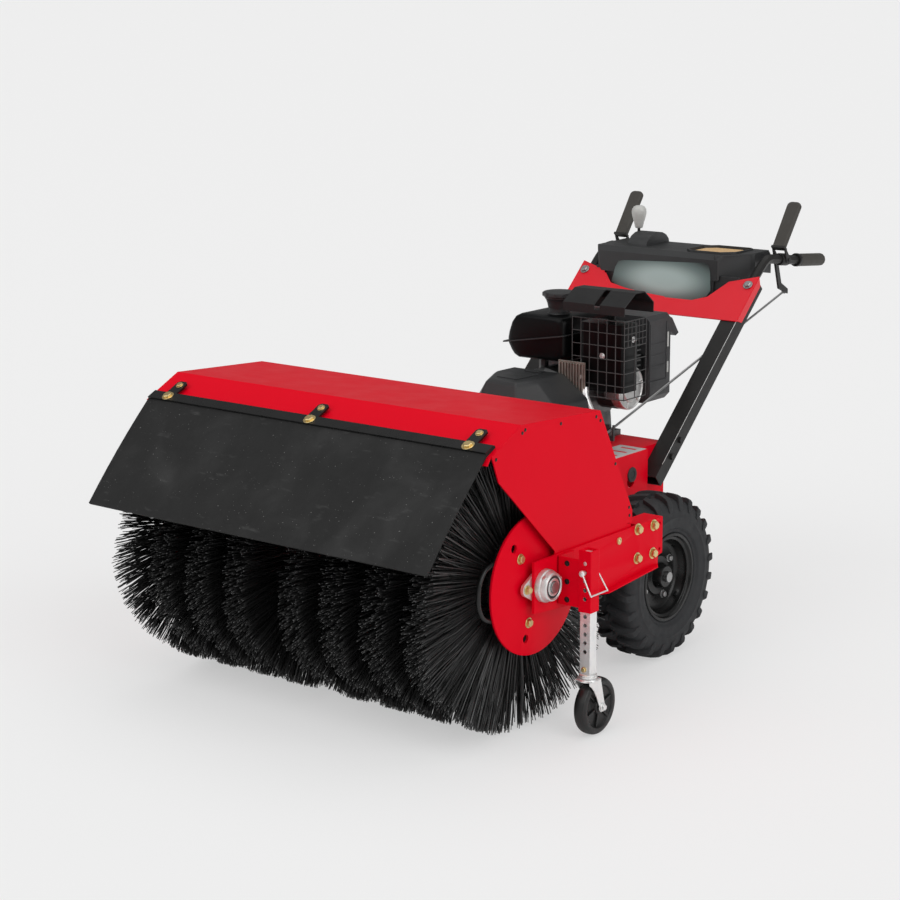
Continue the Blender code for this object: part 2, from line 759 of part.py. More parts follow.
def end_disc(side):
    """The end disc with its hub collar, bolt heads, drain holes and wafer hoops."""
    hub_x = CORE_END_X + GAP
    bore = SHAFT_RADIUS + GAP
    profile = [
        (hub_x, bore),
        (hub_x, DISC_HUB_RADIUS),
        (DISC_INNER_X, DISC_HUB_RADIUS),
        (DISC_INNER_X, DISC_RADIUS),
        (DISC_OUTER_X, DISC_RADIUS),
        (DISC_OUTER_X, bore),
    ]
    disc = revolve(profile, 24, (0, 0, AXIS_Z), (side, 0, 0))
    hoop_x = side * (DISC_INNER_X - HOOP_ROD_RADIUS + 1.5 * FUSE)
    tools = []
    for turn in (math.radians(176), math.radians(-4)):
        outward = Vector((0, math.cos(turn), math.sin(turn)))
        across = Vector((0, -math.sin(turn), math.cos(turn)))
        centre = Vector((hoop_x, 0, AXIS_Z))
        inset = DISC_RADIUS - HOOP_SEAT_INSET
        reach = math.sqrt(inset ** 2 - HOOP_HALF_WIDTH ** 2)
        path = [
            centre + across * HOOP_HALF_WIDTH + outward * reach,
            centre + across * HOOP_HALF_WIDTH * 0.9 + outward * (HOOP_REACH - HOOP_SHOULDER),
            centre + across * HOOP_HALF_WIDTH * 0.4 + outward * HOOP_REACH,
            centre - across * HOOP_HALF_WIDTH * 0.4 + outward * HOOP_REACH,
            centre - across * HOOP_HALF_WIDTH * 0.9 + outward * (HOOP_REACH - HOOP_SHOULDER),
            centre - across * HOOP_HALF_WIDTH + outward * reach,
        ]
        tools.append(sweep(path, HOOP_ROD_RADIUS, 6))
    holes = []
    heads = []
    for turn in (math.radians(130), math.radians(-107)):
        y = math.cos(turn)
        z = math.sin(turn)
        hole = (side * DISC_OUTER_X, DISC_HOLE_RADIUS * y, AXIS_Z + DISC_HOLE_RADIUS * z)
        reach = Vector((side * 0.02, 0, 0))
        holes.append(cylinder(DISC_HOLE_SIZE, Vector(hole) - reach, Vector(hole) + reach, segments=8))
        heads.append((side * DISC_OUTER_X, DISC_BOLT_RADIUS * y, AXIS_Z + DISC_BOLT_RADIUS * z))
    unite(disc, *tools)
    cut(disc, *holes)
    return unite(disc, hex_heads(heads, (side, 0, 0), DISC_HEAD_RADIUS, DISC_HEAD_HEIGHT))


# Hood and flap


def hood_corners():
    """The hood's bend lines, from the nose to the tail, as tangents round the brush."""
    front = (HOOD_FRONT_ANGLE, BRUSH_RADIUS + HOOD_FRONT_CLEARANCE)
    top = (HOOD_TOP_ANGLE, BRUSH_RADIUS + HOOD_TOP_CLEARANCE)
    rear = (HOOD_REAR_ANGLE, BRUSH_RADIUS + HOOD_REAR_CLEARANCE)
    tail = (0.0, HOOD_TAIL_Y)
    top_front = tangent_corner(*front, *top)
    top_rear = tangent_corner(*top, *rear)
    rear_up = tangent_corner(*rear, *tail)
    down = Vector((-math.sin(HOOD_FRONT_ANGLE), math.cos(HOOD_FRONT_ANGLE)))
    nose = top_front + down * HOOD_NOSE
    return nose, top_front, top_rear, rear_up


def slope_point(along, above):
    """A point on the hood's front slope: distance down from its top bend, height off it."""
    nose, top_front, _, _ = hood_corners()
    down = (nose - top_front).normalized()
    out = Vector((down.y, -down.x))
    return top_front + down * along + out * above


def hood_panel():
    """The bent top sheet between the side plates."""
    nose, top_front, top_rear, rear_up = hood_corners()
    lip = nose + Vector((-0.6, -0.8)) * HOOD_LIP
    tail = rear_up - Vector((0, HOOD_TAIL))
    outline = thicken([lip, nose, top_front, top_rear, rear_up, tail], HOOD_SHEET)
    half = HOOD_SIDE_X - HOOD_SHEET - GAP
    return side_prism(outline, -half, half)


def side_plate(side):
    """The hood's end plate, with the tab that a bolt ties to the arm."""
    nose, top_front, top_rear, rear_up = hood_corners()
    tail = rear_up - Vector((0, HOOD_TAIL))
    bottom = AXIS_Z + SIDE_BOTTOM_FRONT[1]
    rise = SIDE_BOTTOM_RISE / (tail.x - SIDE_BOTTOM_FRONT[0])
    tab_front = bottom + rise * (SIDE_TAB_Y[0] - SIDE_BOTTOM_FRONT[0])
    tab_rear = bottom + rise * (SIDE_TAB_Y[1] - SIDE_BOTTOM_FRONT[0])
    outline = [
        tuple(nose),
        (SIDE_FRONT_LOW[0], AXIS_Z + SIDE_FRONT_LOW[1]),
        (SIDE_BOTTOM_FRONT[0], bottom),
        (SIDE_TAB_Y[0], tab_front),
        (SIDE_TAB_Y[0], tab_front - SIDE_TAB_DROP),
        (SIDE_TAB_Y[1], tab_rear - SIDE_TAB_DROP),
        (SIDE_TAB_Y[1], tab_rear),
        (tail.x, tail.y),
        tuple(rear_up),
        tuple(top_rear),
        tuple(top_front),
    ]
    return side_prism(outline, side * (HOOD_SIDE_X - HOOD_SHEET), side * HOOD_SIDE_X)


def flap_path():
    """The flap's outer face: flat on the hood's slope, then hanging forward and down."""
    above = GAP + FLAP_THICKNESS
    path = [slope_point(FLAP_START, above), slope_point(HOOD_NOSE + 0.004, above)]
    steps = 6
    for i in range(steps):
        angle = math.radians(FLAP_TOP_ANGLE + (FLAP_END_ANGLE - FLAP_TOP_ANGLE) * i / (steps - 1))
        step = (FLAP_LENGTH - (HOOD_NOSE - FLAP_START)) / steps
        path.append(path[-1] + Vector((-math.cos(angle), -math.sin(angle))) * step)
    return path


def rubber_flap():
    """The hanging rubber flap."""
    outline = thicken(list(reversed(flap_path())), FLAP_THICKNESS)
    return side_prism(outline, -FLAP_WIDTH / 2, FLAP_WIDTH / 2)


def flap_strap():
    """The bar that clamps the flap, with three bolted tabs."""
    low = FLAP_THICKNESS + 2 * GAP
    high = low + STRAP_THICKNESS
    down = (slope_point(1, 0) - slope_point(0, 0)).normalized()
    out = Vector((0, down.y, -down.x))
    end = FLAP_WIDTH / 2
    half = STRAP_TAB_WIDTH / 2
    corner = STRAP_TAB_CORNER
    foot = STRAP_START + STRAP_WIDTH
    outline = [(-end, foot), (end, foot), (end, STRAP_START)]
    for x in (STRAP_BOLT_X, 0.0, -STRAP_BOLT_X):
        outline += [
            (x + half, STRAP_START),
            (x + half, STRAP_TAB_TOP + corner),
            (x + half - corner, STRAP_TAB_TOP),
            (x - half + corner, STRAP_TAB_TOP),
            (x - half, STRAP_TAB_TOP + corner),
            (x - half, STRAP_START),
        ]
    outline.append((-end, STRAP_START))
    corners = []
    for x, along in outline:
        point = slope_point(along, low)
        corners.append(Vector((x, point.x, point.y)))
    strap = prism(corners, out * (high - low))
    for x in (-STRAP_BOLT_X, 0.0, STRAP_BOLT_X):
        foot = slope_point(STRAP_TAB_TOP + half, GAP)
        top = slope_point(STRAP_TAB_TOP + half, high)
        big = slope_point(STRAP_START + STRAP_WIDTH / 2, high)
        spacer = cylinder(TAB_BOLT_RADIUS * 1.3, (x, *foot), Vector((x, *top)) - out * FUSE, segments=8)
        unite(strap, spacer)
        unite(strap, hex_heads([(x, *top)], out, TAB_BOLT_RADIUS, TAB_BOLT_HEIGHT))
        unite(strap, hex_heads([(x, *big)], out, STRAP_BOLT_RADIUS, STRAP_BOLT_HEIGHT))
    return strap


# Arms and cross member


def arm(side):
    """The plate that carries the bearing, the hood and the caster, with a stiffening lip."""
    top = ARM_TOP_Z
    belly = AXIS_Z - ARM_BELLY_DROP
    tail = AXIS_Z - ARM_REAR_DROP
    notch_y = ARM_REAR_Y - ARM_NOTCH[0]
    outline = [
        (ARM_FRONT_Y, top),
        (ARM_FRONT_Y, AXIS_Z - ARM_FRONT_DROP),
        (ARM_BELLY_Y[0], belly + ARM_BELLY_RISE),
        (ARM_BELLY_Y[1], belly),
        (notch_y, tail),
        (notch_y, tail + ARM_NOTCH[1]),
        (ARM_REAR_Y, tail + ARM_NOTCH[1] + ARM_BELLY_RISE),
        (ARM_REAR_Y, top),
    ]
    plate = side_prism(outline, side * ARM_INNER_X, side * ARM_OUTER_X)
    slope = (tail - belly) / (notch_y - ARM_BELLY_Y[1])
    ramp = ARM_LIP_RAMP
    root_x = side * (ARM_OUTER_X - FUSE)
    lip_x = side * (ARM_OUTER_X + ARM_LIP)
    lip = [
        Vector((root_x, ARM_BELLY_Y[1], belly)),
        Vector((lip_x, ARM_BELLY_Y[1] + ramp, belly + slope * ramp)),
        Vector((lip_x, notch_y - ramp, tail - slope * ramp)),
        Vector((root_x, notch_y, tail)),
    ]
    unite(plate, prism(lip, Vector((0, 0, ARM_PLATE / 2))))
    flange_y = ARM_REAR_Y - ARM_FLANGE_LENGTH
    flange_in = side * (ARM_INNER_X - ARM_FLANGE)
    flange = rectangle(flange_in, side * (ARM_INNER_X + FUSE), flange_y, ARM_REAR_Y)
    unite(plate, plan_prism(flange, top - ARM_PLATE, top))
    hole = (side * ARM_OUTER_X, 0, AXIS_Z)
    reach = Vector((side * 0.03, 0, 0))
    bore = BEARING_BODY_RADIUS + 2 * GAP
    cut(plate, cylinder(bore, Vector(hole) - reach, Vector(hole) + reach, segments=24))
    heads = [(side * ARM_OUTER_X, sum(SIDE_TAB_Y) / 2, top - 0.020)]
    for y in cross_bolt_y():
        for z in cross_bolt_z():
            heads.append((side * ARM_OUTER_X, y, z))
    return unite(plate, hex_heads(heads, (side, 0, 0), HEAD_BOLT_RADIUS, HEAD_BOLT_HEIGHT))


def cross_plate_range():
    """The end plates' extent along Y and Z."""
    y_low = CROSS_FRONT_Y - 0.012
    z_high = ARM_TOP_Z - ARM_PLATE - GAP
    return y_low, y_low + CROSS_PLATE_LENGTH, z_high - CROSS_PLATE_HEIGHT, z_high


def cross_bolt_y():
    """The arm bolts' places along Y."""
    y_low, y_high, _, _ = cross_plate_range()
    return y_low + 0.014, y_high - 0.014


def cross_bolt_z():
    """The arm bolts' heights."""
    _, _, z_low, z_high = cross_plate_range()
    return z_low + 0.016, z_high - 0.008


def cross_member():
    """The square tube behind the brush, with its end plates and the pivot's bore."""
    half = CROSS_TUBE / 2
    x_end = ARM_INNER_X - GAP
    outer = rectangle(PIVOT_Y - half, PIVOT_Y + half, CROSS_Z - half, CROSS_Z + half)
    wall = half - CROSS_WALL
    inner = rectangle(PIVOT_Y - wall, PIVOT_Y + wall, CROSS_Z - wall, CROSS_Z + wall)
    tube = side_prism(outer, -x_end + CROSS_PLATE / 2, x_end - CROSS_PLATE / 2)
    y_low, y_high, z_low, z_high = cross_plate_range()
    for side in (-1, 1):
        plate = rectangle(y_low, y_high, z_low, z_high)
        unite(tube, side_prism(plate, side * (x_end - CROSS_PLATE), side * x_end))
    cut(tube, side_prism(inner, -x_end - FUSE, x_end + FUSE))
    bore = PIVOT_RADIUS + RUNNING
    low = (0, PIVOT_Y, CROSS_Z - CROSS_TUBE)
    high = (0, PIVOT_Y, CROSS_Z + CROSS_TUBE)
    sleeve_low = (0, PIVOT_Y, CROSS_Z - half + FUSE)
    sleeve_high = (0, PIVOT_Y, CROSS_Z + half - FUSE)
    unite(tube, cylinder(PIVOT_RADIUS + 0.006, sleeve_low, sleeve_high, segments=12))
    return cut(tube, cylinder(bore / math.cos(math.pi / 12), low, high, segments=12))


def gear_case():
    """The brush's centre drive: a round case with a neck bolted to the cross member."""
    width = GEAR_CASE_HALF_WIDTH
    profile = [
        (-width, SHAFT_RADIUS + RUNNING),
        (-width, GEAR_CASE_RADIUS * 0.55),
        (-width * 0.55, GEAR_CASE_RADIUS),
        (width * 0.55, GEAR_CASE_RADIUS),
        (width, GEAR_CASE_RADIUS * 0.55),
        (width, SHAFT_RADIUS + RUNNING),
    ]
    case = revolve(profile, 16, (0, 0, AXIS_Z), (1, 0, 0))
    end = CROSS_FRONT_Y - GAP
    start = GEAR_CASE_RADIUS * 0.7
    neck = cylinder(GEAR_NECK_RADIUS, (0, start, AXIS_Z), (0, end - FUSE, AXIS_Z), segments=12)
    low = AXIS_Z - GEAR_NECK_RADIUS
    plate = rectangle(-width, width, low, CROSS_Z + CROSS_TUBE / 2 - 0.003)
    flange = front_prism(plate, end - GEAR_FLANGE, end)
    return unite(case, neck, flange)


def bearing(side):
    """A two-bolt flange bearing behind the arm, its round body through the arm."""
    inner = ARM_INNER_X - GAP - BEARING_FLANGE
    seat = ARM_INNER_X - GAP
    outer = ARM_OUTER_X + BEARING_OUT
    radius = BEARING_BODY_RADIUS
    profile = [
        (inner + FUSE, 0.0),
        (inner + FUSE, radius),
        (ARM_OUTER_X + 0.010, radius),
        (outer, radius * 0.80),
        (outer, radius * 0.62),
        (outer - 0.005, radius * 0.60),
        (outer - 0.005, 0.0),
    ]
    body = revolve(profile, 16, (0, 0, AXIS_Z), (side, 0, 0), closed=False)
    wide = radius + 0.004
    arcs = (
        (BEARING_EAR_Y, BEARING_EAR_RADIUS, -60, 60),
        (0.0, wide, 60, 120),
        (-BEARING_EAR_Y, BEARING_EAR_RADIUS, 120, 240),
        (0.0, wide, 240, 300),
    )
    outline = []
    for centre, size, first, last in arcs:
        for angle in (first, (first + last) / 2, last):
            turn = math.radians(angle)
            outline.append((centre + size * math.cos(turn), AXIS_Z + size * math.sin(turn)))
    unite(body, side_prism(outline, side * inner, side * seat))
    nipple_x = side * (ARM_OUTER_X + 0.008)
    nipple_z = AXIS_Z - 0.018
    nipple = sweep([(nipple_x, 0.020, nipple_z), (nipple_x, 0.042, nipple_z - 0.004)], [0.0045, 0.003], 6)
    unite(body, nipple)
    bore = (SHAFT_RADIUS + GAP) / math.cos(math.pi / 16)
    start = (side * (inner - 0.01), 0, AXIS_Z)
    return cut(body, cylinder(bore, start, (side * (outer + 0.01), 0, AXIS_Z), segments=16))


# Casters


def caster_bracket(side):
    """The square sleeve on its arm bracket, with a row of holes for the hitch pin."""
    x = side * CASTER_X
    half = SLEEVE_SIZE / 2
    outline = rectangle(x - half, x + half, CASTER_Y - half, CASTER_Y + half)
    sleeve = plan_prism(outline, SLEEVE_LOW_Z, SLEEVE_TOP_Z)
    plate_inner = ARM_OUTER_X + GAP
    low = SLEEVE_LOW_Z + 0.008
    high = SLEEVE_TOP_Z - 0.022
    web_y = CASTER_Y - half + 0.001
    web = rectangle(side * plate_inner, side * (CASTER_X - half + FUSE), web_y, web_y + SLEEVE_PLATE)
    foot = rectangle(side * plate_inner, side * (plate_inner + SLEEVE_PLATE), web_y, CASTER_Y + 0.045)
    unite(sleeve, plan_prism(web, low, high), plan_prism(foot, low, high))
    bore = STEM_SIZE / 2 + GAP
    inner = rectangle(x - bore, x + bore, CASTER_Y - bore, CASTER_Y + bore)
    cut(sleeve, plan_prism(inner, SLEEVE_LOW_Z - 0.01, SLEEVE_TOP_Z + 0.01))
    z = SLEEVE_TOP_Z - PIN_DROP
    reach = SLEEVE_SIZE
    tools = []
    for step in (-2, -1, 0, 1):
        place = z + step * STEM_HOLE_PITCH
        start = (x, CASTER_Y - reach, place)
        end = (x, CASTER_Y + (reach if step == 0 else 0.0), place)
        tools.append(cylinder(STEM_HOLE_RADIUS, start, end, segments=6))
    return cut(sleeve, *tools)


def caster_stem(side):
    """The square stem with its row of holes and the swivel race at its foot."""
    x = side * CASTER_X
    half = STEM_SIZE / 2
    low = FORK_TOP_Z + RACE_HEIGHT
    top = SLEEVE_TOP_Z - 0.006
    stem = plan_prism(rectangle(x - half, x + half, CASTER_Y - half, CASTER_Y + half), low, top)
    pin_z = SLEEVE_TOP_Z - PIN_DROP
    tools = []
    for step in STEM_HOLES:
        place = pin_z + step * STEM_HOLE_PITCH
        start = (x, CASTER_Y - STEM_SIZE, place)
        tools.append(cylinder(STEM_HOLE_RADIUS, start, (x, CASTER_Y + STEM_SIZE, place), segments=6))
    cut(stem, *tools)
    profile = [
        (0.0, 0.0),
        (0.0, RACE_RADIUS * 0.8),
        (RACE_HEIGHT * 0.4, RACE_RADIUS),
        (RACE_HEIGHT, RACE_RADIUS * 0.95),
        (RACE_HEIGHT + FUSE, 0.0),
    ]
    race = revolve(profile, 16, (x, CASTER_Y, FORK_TOP_Z + GAP), (0, 0, 1), closed=False)
    bolt = hex_heads([(x, CASTER_Y - half, low + 0.012)], (0, -1, 0), 0.006, 0.005)
    return unite(stem, race, bolt)


def caster_fork(side):
    """The pressed fork: a top plate, two cheeks and the axle bolt across them."""
    x = side * CASTER_X
    inner = CASTER_WIDTH / 2 + 0.0015
    outer = inner + FORK_PLATE
    axle_y = CASTER_Y + CASTER_TRAIL
    front = CASTER_Y - FORK_HALF_LENGTH
    back = CASTER_Y + FORK_HALF_LENGTH
    cheek = [
        (front, FORK_TOP_Z),
        (front, FORK_TOP_Z - 0.030),
        (axle_y - 0.010, CASTER_RADIUS - 0.008),
        (axle_y, CASTER_RADIUS - 0.012),
        (axle_y + 0.010, CASTER_RADIUS - 0.008),
        (axle_y + 0.012, CASTER_RADIUS + 0.010),
        (back, FORK_TOP_Z - 0.030),
        (back, FORK_TOP_Z),
    ]
    top = rectangle(x - inner - FUSE, x + inner + FUSE, front, back)
    fork = plan_prism(top, FORK_TOP_Z - FORK_PLATE, FORK_TOP_Z)
    unite(fork, side_prism(cheek, x - outer, x - inner), side_prism(cheek, x + inner, x + outer))
    axle = cylinder(CASTER_AXLE_RADIUS, (x - outer - 0.004, axle_y, CASTER_RADIUS),
                    (x + outer + 0.004, axle_y, CASTER_RADIUS), segments=10)
    unite(fork, axle)
    for end in (-1, 1):
        head = hex_heads([(x + end * outer, axle_y, CASTER_RADIUS)], (end, 0, 0), 0.0095, 0.008)
        unite(fork, head)
    return fork


def caster_wheel(side):
    """The small solid wheel with a dished hub."""
    half = CASTER_WIDTH / 2
    bore = CASTER_AXLE_RADIUS + RUNNING
    tread = CASTER_RADIUS
    right = [
        (half, bore),
        (half, 0.017),
        (half - 0.006, 0.023),
        (half - 0.006, tread - 0.016),
        (half - 0.002, tread - 0.010),
        (half - 0.008, tread),
    ]
    profile = [(-a, r) for a, r in right] + list(reversed(right))
    centre = (side * CASTER_X, CASTER_Y + CASTER_TRAIL, CASTER_RADIUS)
    return revolve(profile, 16, centre, (1, 0, 0), turn=math.pi / 2)


def hitch_pin(side):
    """The pin through sleeve and stem, with its wire bail hanging round the outside."""
    x = side * CASTER_X
    z = SLEEVE_TOP_Z - PIN_DROP
    front = CASTER_Y - SLEEVE_SIZE / 2
    rear = CASTER_Y + SLEEVE_SIZE / 2
    pin = cylinder(PIN_RADIUS, (x, front - 0.012, z), (x, rear + 0.014, z), segments=10)
    out = side * (SLEEVE_SIZE / 2 + 0.009)
    low = z - BAIL_DROP
    corners = [
        (x, front - 0.009, z),
        (x + out, front - 0.012, low),
        (x + out, rear + 0.018, low),
        (x, rear + 0.011, z),
    ]
    bail = sweep(bend(corners, 0.006, 2), BAIL_RADIUS, 5)
    head = cylinder(PIN_RADIUS * 1.7, (x, front - 0.014, z), (x, front - 0.004, z), segments=10)
    return unite(pin, head, bail)


# Drive wheels


def tyre(side):
    """The tyre's hollow carcass with two staggered rows of slanted lugs in its tread."""
    half = TYRE_WIDTH / 2
    tread = TYRE_RADIUS - LUG_HEIGHT
    count = 2 * LUGS_PER_ROW
    bead = (RIM_RADIUS + GAP) / math.cos(math.pi / count)
    pitch = 2 * math.pi / LUGS_PER_ROW
    bm = bmesh.new()

    def ring(x, radius, angles):
        points = []
        for angle in angles:
            y = WHEEL_Y + radius * math.cos(angle)
            z = WHEEL_Z + radius * math.sin(angle)
            points.append(bm.verts.new((side * (WHEEL_X + x), y, z)))
        return points

    def lug_angles(row, slant):
        angles = []
        for i in range(LUGS_PER_ROW):
            middle = -math.pi / 2 + (i + row / 2) * pitch + slant
            angles += [middle - LUG_HALF_ANGLE, middle + LUG_HALF_ANGLE]
        return angles

    outer_rings = []
    for row, end in ((0, 1), (1, -1)):
        near = ring(end * 0.03 * half, tread, lug_angles(row, -side * LUG_SLANT))
        far = ring(end * 0.90 * half, tread - LUG_SHOULDER_DROP, lug_angles(row, side * LUG_SLANT))
        near_top = ring(end * 0.03 * half, TYRE_RADIUS, lug_angles(row, -side * LUG_SLANT))
        far_top = ring(end * 0.90 * half, TYRE_RADIUS - LUG_SHOULDER_DROP, lug_angles(row, side * LUG_SLANT))
        for i in range(0, count, 2):
            j = i + 1
            k = (i + 2) % count
            bm.faces.new((near_top[i], near_top[j], far_top[j], far_top[i]))
            bm.faces.new((near[i], near_top[i], far_top[i], far[i]))
            bm.faces.new((near[j], far[j], far_top[j], near_top[j]))
            bm.faces.new((near[i], near[j], near_top[j], near_top[i]))
            bm.faces.new((far[i], far_top[i], far_top[j], far[j]))
            bm.faces.new((near[j], near[k], far[k], far[j]))
        profile = [(half, bead + 0.044), (half * 0.76, bead)]
        inside = [(half * 0.76 - TYRE_WALL, bead), (half * 0.66, tread - TYRE_WALL)]
        rings = [far]
        for x, radius in profile + inside:
            rings.append(ring(end * x, radius, lug_angles(row, side * LUG_SLANT)))
        connect_rings(bm, rings)
        outer_rings.append((near, rings[-1]))
    bridge_staggered(bm, outer_rings[0][0], outer_rings[1][0])
    bridge_staggered(bm, outer_rings[0][1], outer_rings[1][1])
    return solid(bm)


def connect_rings(bm, rings):
    """Join rings with equal counts, one to the next."""
    for one, two in zip(rings, rings[1:]):
        for i in range(len(one)):
            j = (i + 1) % len(one)
            bm.faces.new((one[i], one[j], two[j], two[i]))


def bridge_staggered(bm, one, two):
    """Join two rings whose points are half a lug pitch apart."""
    count = len(one)
    for i in range(count):
        bm.faces.new((one[i], one[(i + 1) % count], two[i], two[i - 1]))


def rim(side):
    """The pressed rim: barrel, flanges, web and hub tube, bored for the axle."""
    half = TYRE_WIDTH / 2 * 0.76 + RIM_SEAT_GAP
    bore = (AXLE_RADIUS + RUNNING) / math.cos(math.pi / 16)
    sheet = RIM_SHEET
    web_x = 0.010
    profile = [
        (-half, RIM_RADIUS + RIM_FLANGE),
        (-half, RIM_RADIUS),
        (half, RIM_RADIUS),
        (half, RIM_RADIUS + RIM_FLANGE),
        (half + sheet, RIM_RADIUS + RIM_FLANGE),
        (half + sheet, RIM_RADIUS - sheet),
        (web_x + sheet, RIM_RADIUS - 2 * sheet),
        (web_x + sheet, HUB_RADIUS),
        (HUB_HALF_LENGTH, HUB_RADIUS * 0.8),
        (HUB_HALF_LENGTH, bore),
        (-HUB_HALF_LENGTH, bore),
        (-HUB_HALF_LENGTH, HUB_RADIUS * 0.8),
        (web_x, HUB_RADIUS),
        (web_x, RIM_RADIUS - 2 * sheet),
        (-half - sheet, RIM_RADIUS - sheet),
        (-half - sheet, RIM_RADIUS + RIM_FLANGE),
    ]
    return revolve(profile, 16, (side * WHEEL_X, WHEEL_Y, WHEEL_Z), (side, 0, 0))


def axle():
    """The wheels' through axle."""
    return cylinder(AXLE_RADIUS, (-AXLE_END_X, WHEEL_Y, WHEEL_Z), (AXLE_END_X, WHEEL_Y, WHEEL_Z), segments=12)


# Chassis


def chassis_side(inset, skirt):
    """The chassis side's outline, or its inside, which is left open below."""
    front = CHASSIS_FRONT_Y + inset
    rear = CHASSIS_REAR_Y - inset
    top = CHASSIS_TOP - inset
    low = CHASSIS_BOTTOM - skirt
    lug = WHEEL_Z - 0.030 - skirt
    half = AXLE_LUG_HALF_LENGTH
    return [
        (front, top),
        (front, low),
        (WHEEL_Y - half - 0.030, low),
        (WHEEL_Y - half + 0.008, lug),
        (WHEEL_Y + half - 0.008, lug),
        (WHEEL_Y + half + 0.030, low),
        (rear, low),
        (rear, top),
    ]


def chassis_frame():
    """The folded chassis box, open below, with its narrower tail and the pivot ears in front."""
    width = CHASSIS_HALF_WIDTH
    tail = CHASSIS_TAIL_HALF_WIDTH
    wall = CHASSIS_WALL
    frame = side_prism(chassis_side(0.0, 0.0), -width, width)
    tail_end = CHASSIS_REAR_Y + CHASSIS_TAIL
    tail_top = CHASSIS_TOP - 0.002
    tail_box = rectangle(CHASSIS_REAR_Y - 0.01, tail_end, CHASSIS_BOTTOM + 0.020, tail_top)
    unite(frame, side_prism(tail_box, -tail, tail))
    cut(frame, side_prism(chassis_side(wall, 0.02), -width + wall, width - wall))
    hollow = rectangle(CHASSIS_REAR_Y - 0.02, tail_end - wall, CHASSIS_BOTTOM - 0.02, tail_top - wall)
    cut(frame, side_prism(hollow, -tail + wall, tail - wall))
    ear_half = PIVOT_EAR_HALF_WIDTH
    half = CROSS_TUBE / 2 + GAP
    front = PIVOT_Y - 0.018
    for low in (CROSS_Z + half, CROSS_Z - half - PIVOT_EAR_THICKNESS):
        outline = [
            (-ear_half, CHASSIS_FRONT_Y + FUSE),
            (-ear_half, PIVOT_Y + 0.020),
            (-0.022, front),
            (0.022, front),
            (ear_half, PIVOT_Y + 0.020),
            (ear_half, CHASSIS_FRONT_Y + FUSE),
        ]
        unite(frame, plan_prism(outline, low, low + PIVOT_EAR_THICKNESS))
    pin_low = CROSS_Z - half - PIVOT_EAR_THICKNESS - 0.006
    pin_high = CROSS_Z + half + PIVOT_EAR_THICKNESS + 0.006
    unite(frame, cylinder(PIVOT_RADIUS, (0, PIVOT_Y, pin_low), (0, PIVOT_Y, pin_high), segments=12))
    reach = width + 0.02
    bore = (AXLE_RADIUS + GAP) / math.cos(math.pi / 12)
    cut(frame, cylinder(bore, (-reach, WHEEL_Y, WHEEL_Z), (reach, WHEEL_Y, WHEEL_Z), segments=12))
    hole = (WHEEL_Y + 0.085, CHASSIS_TOP - 0.068)
    return cut(frame, cylinder(CHASSIS_SIDE_HOLE, (-reach, *hole), (reach, *hole), segments=12))


def gearbox():
    """The drive gearbox round the axle, hung under the chassis top."""
    top = CHASSIS_TOP - CHASSIS_WALL - GAP
    half = GEARBOX_HALF_LENGTH
    rear = [
        (half * 0.55, WHEEL_Z - 0.055),
        (half, WHEEL_Z - 0.015),
        (half, WHEEL_Z + 0.060),
        (half * 0.6, WHEEL_Z + 0.100),
        (half * 0.6, top),
    ]
    outline = [(WHEEL_Y + y, z) for y, z in rear] + [(WHEEL_Y - y, z) for y, z in reversed(rear)]
    box = side_prism(outline, -GEARBOX_HALF_WIDTH, GEARBOX_HALF_WIDTH)
    reach = GEARBOX_HALF_WIDTH + 0.02
    bore = (AXLE_RADIUS + GAP) / math.cos(math.pi / 12)
    return cut(box, cylinder(bore, (-reach, WHEEL_Y, WHEEL_Z), (reach, WHEEL_Y, WHEEL_Z), segments=12))


# Engine


def belt_cover():
    """The moulded belt cover: faceted corners, a sloping nose and a guide for the rod."""
    front = PIVOT_Y + COVER_FRONT
    rear = front + COVER_LENGTH
    high = DECK_Z + COVER_HEIGHT
    narrow, wide = COVER_CHAMFERS
    levels = [(DECK_Z, 0.0, 0.0)]
    levels += [(high - drop, inset, nose) for drop, inset, nose in COVER_LEVELS]
    bm = bmesh.new()
    rings = []
    for z, inset, nose in levels:
        y_front = front + nose
        left = COVER_LEFT_X - inset
        right = COVER_RIGHT_X + inset
        points = [
            (right, rear),
            (right, y_front + narrow),
            (right + narrow, y_front),
            (left - wide, y_front),
            (left, y_front + wide),
            (left, rear),
        ]
        rings.append([bm.verts.new((x, y, z)) for x, y in points])
    connect_rings(bm, rings)
    bm.faces.new(rings[0])
    bm.faces.new(rings[-1])
    cover = solid(bm)
    guide_y = rear - GUIDE_BACK
    low, seat, top = [rod_height(guide_y) + z for z in GUIDE_Z]
    slot = ROD_RADIUS + 2 * RUNNING
    root = COVER_LEFT_X - GUIDE_ROOT
    guide = [
        (root, low),
        (ROD_X + slot + GUIDE_LIP, low),
        (ROD_X + slot + GUIDE_LIP, top),
        (ROD_X + slot, top),
        (ROD_X + slot, seat),
        (ROD_X - slot, seat),
        (ROD_X - slot, top),
        (root, top),
    ]
    return unite(cover, front_prism(guide, guide_y, guide_y + GUIDE_SHEET))


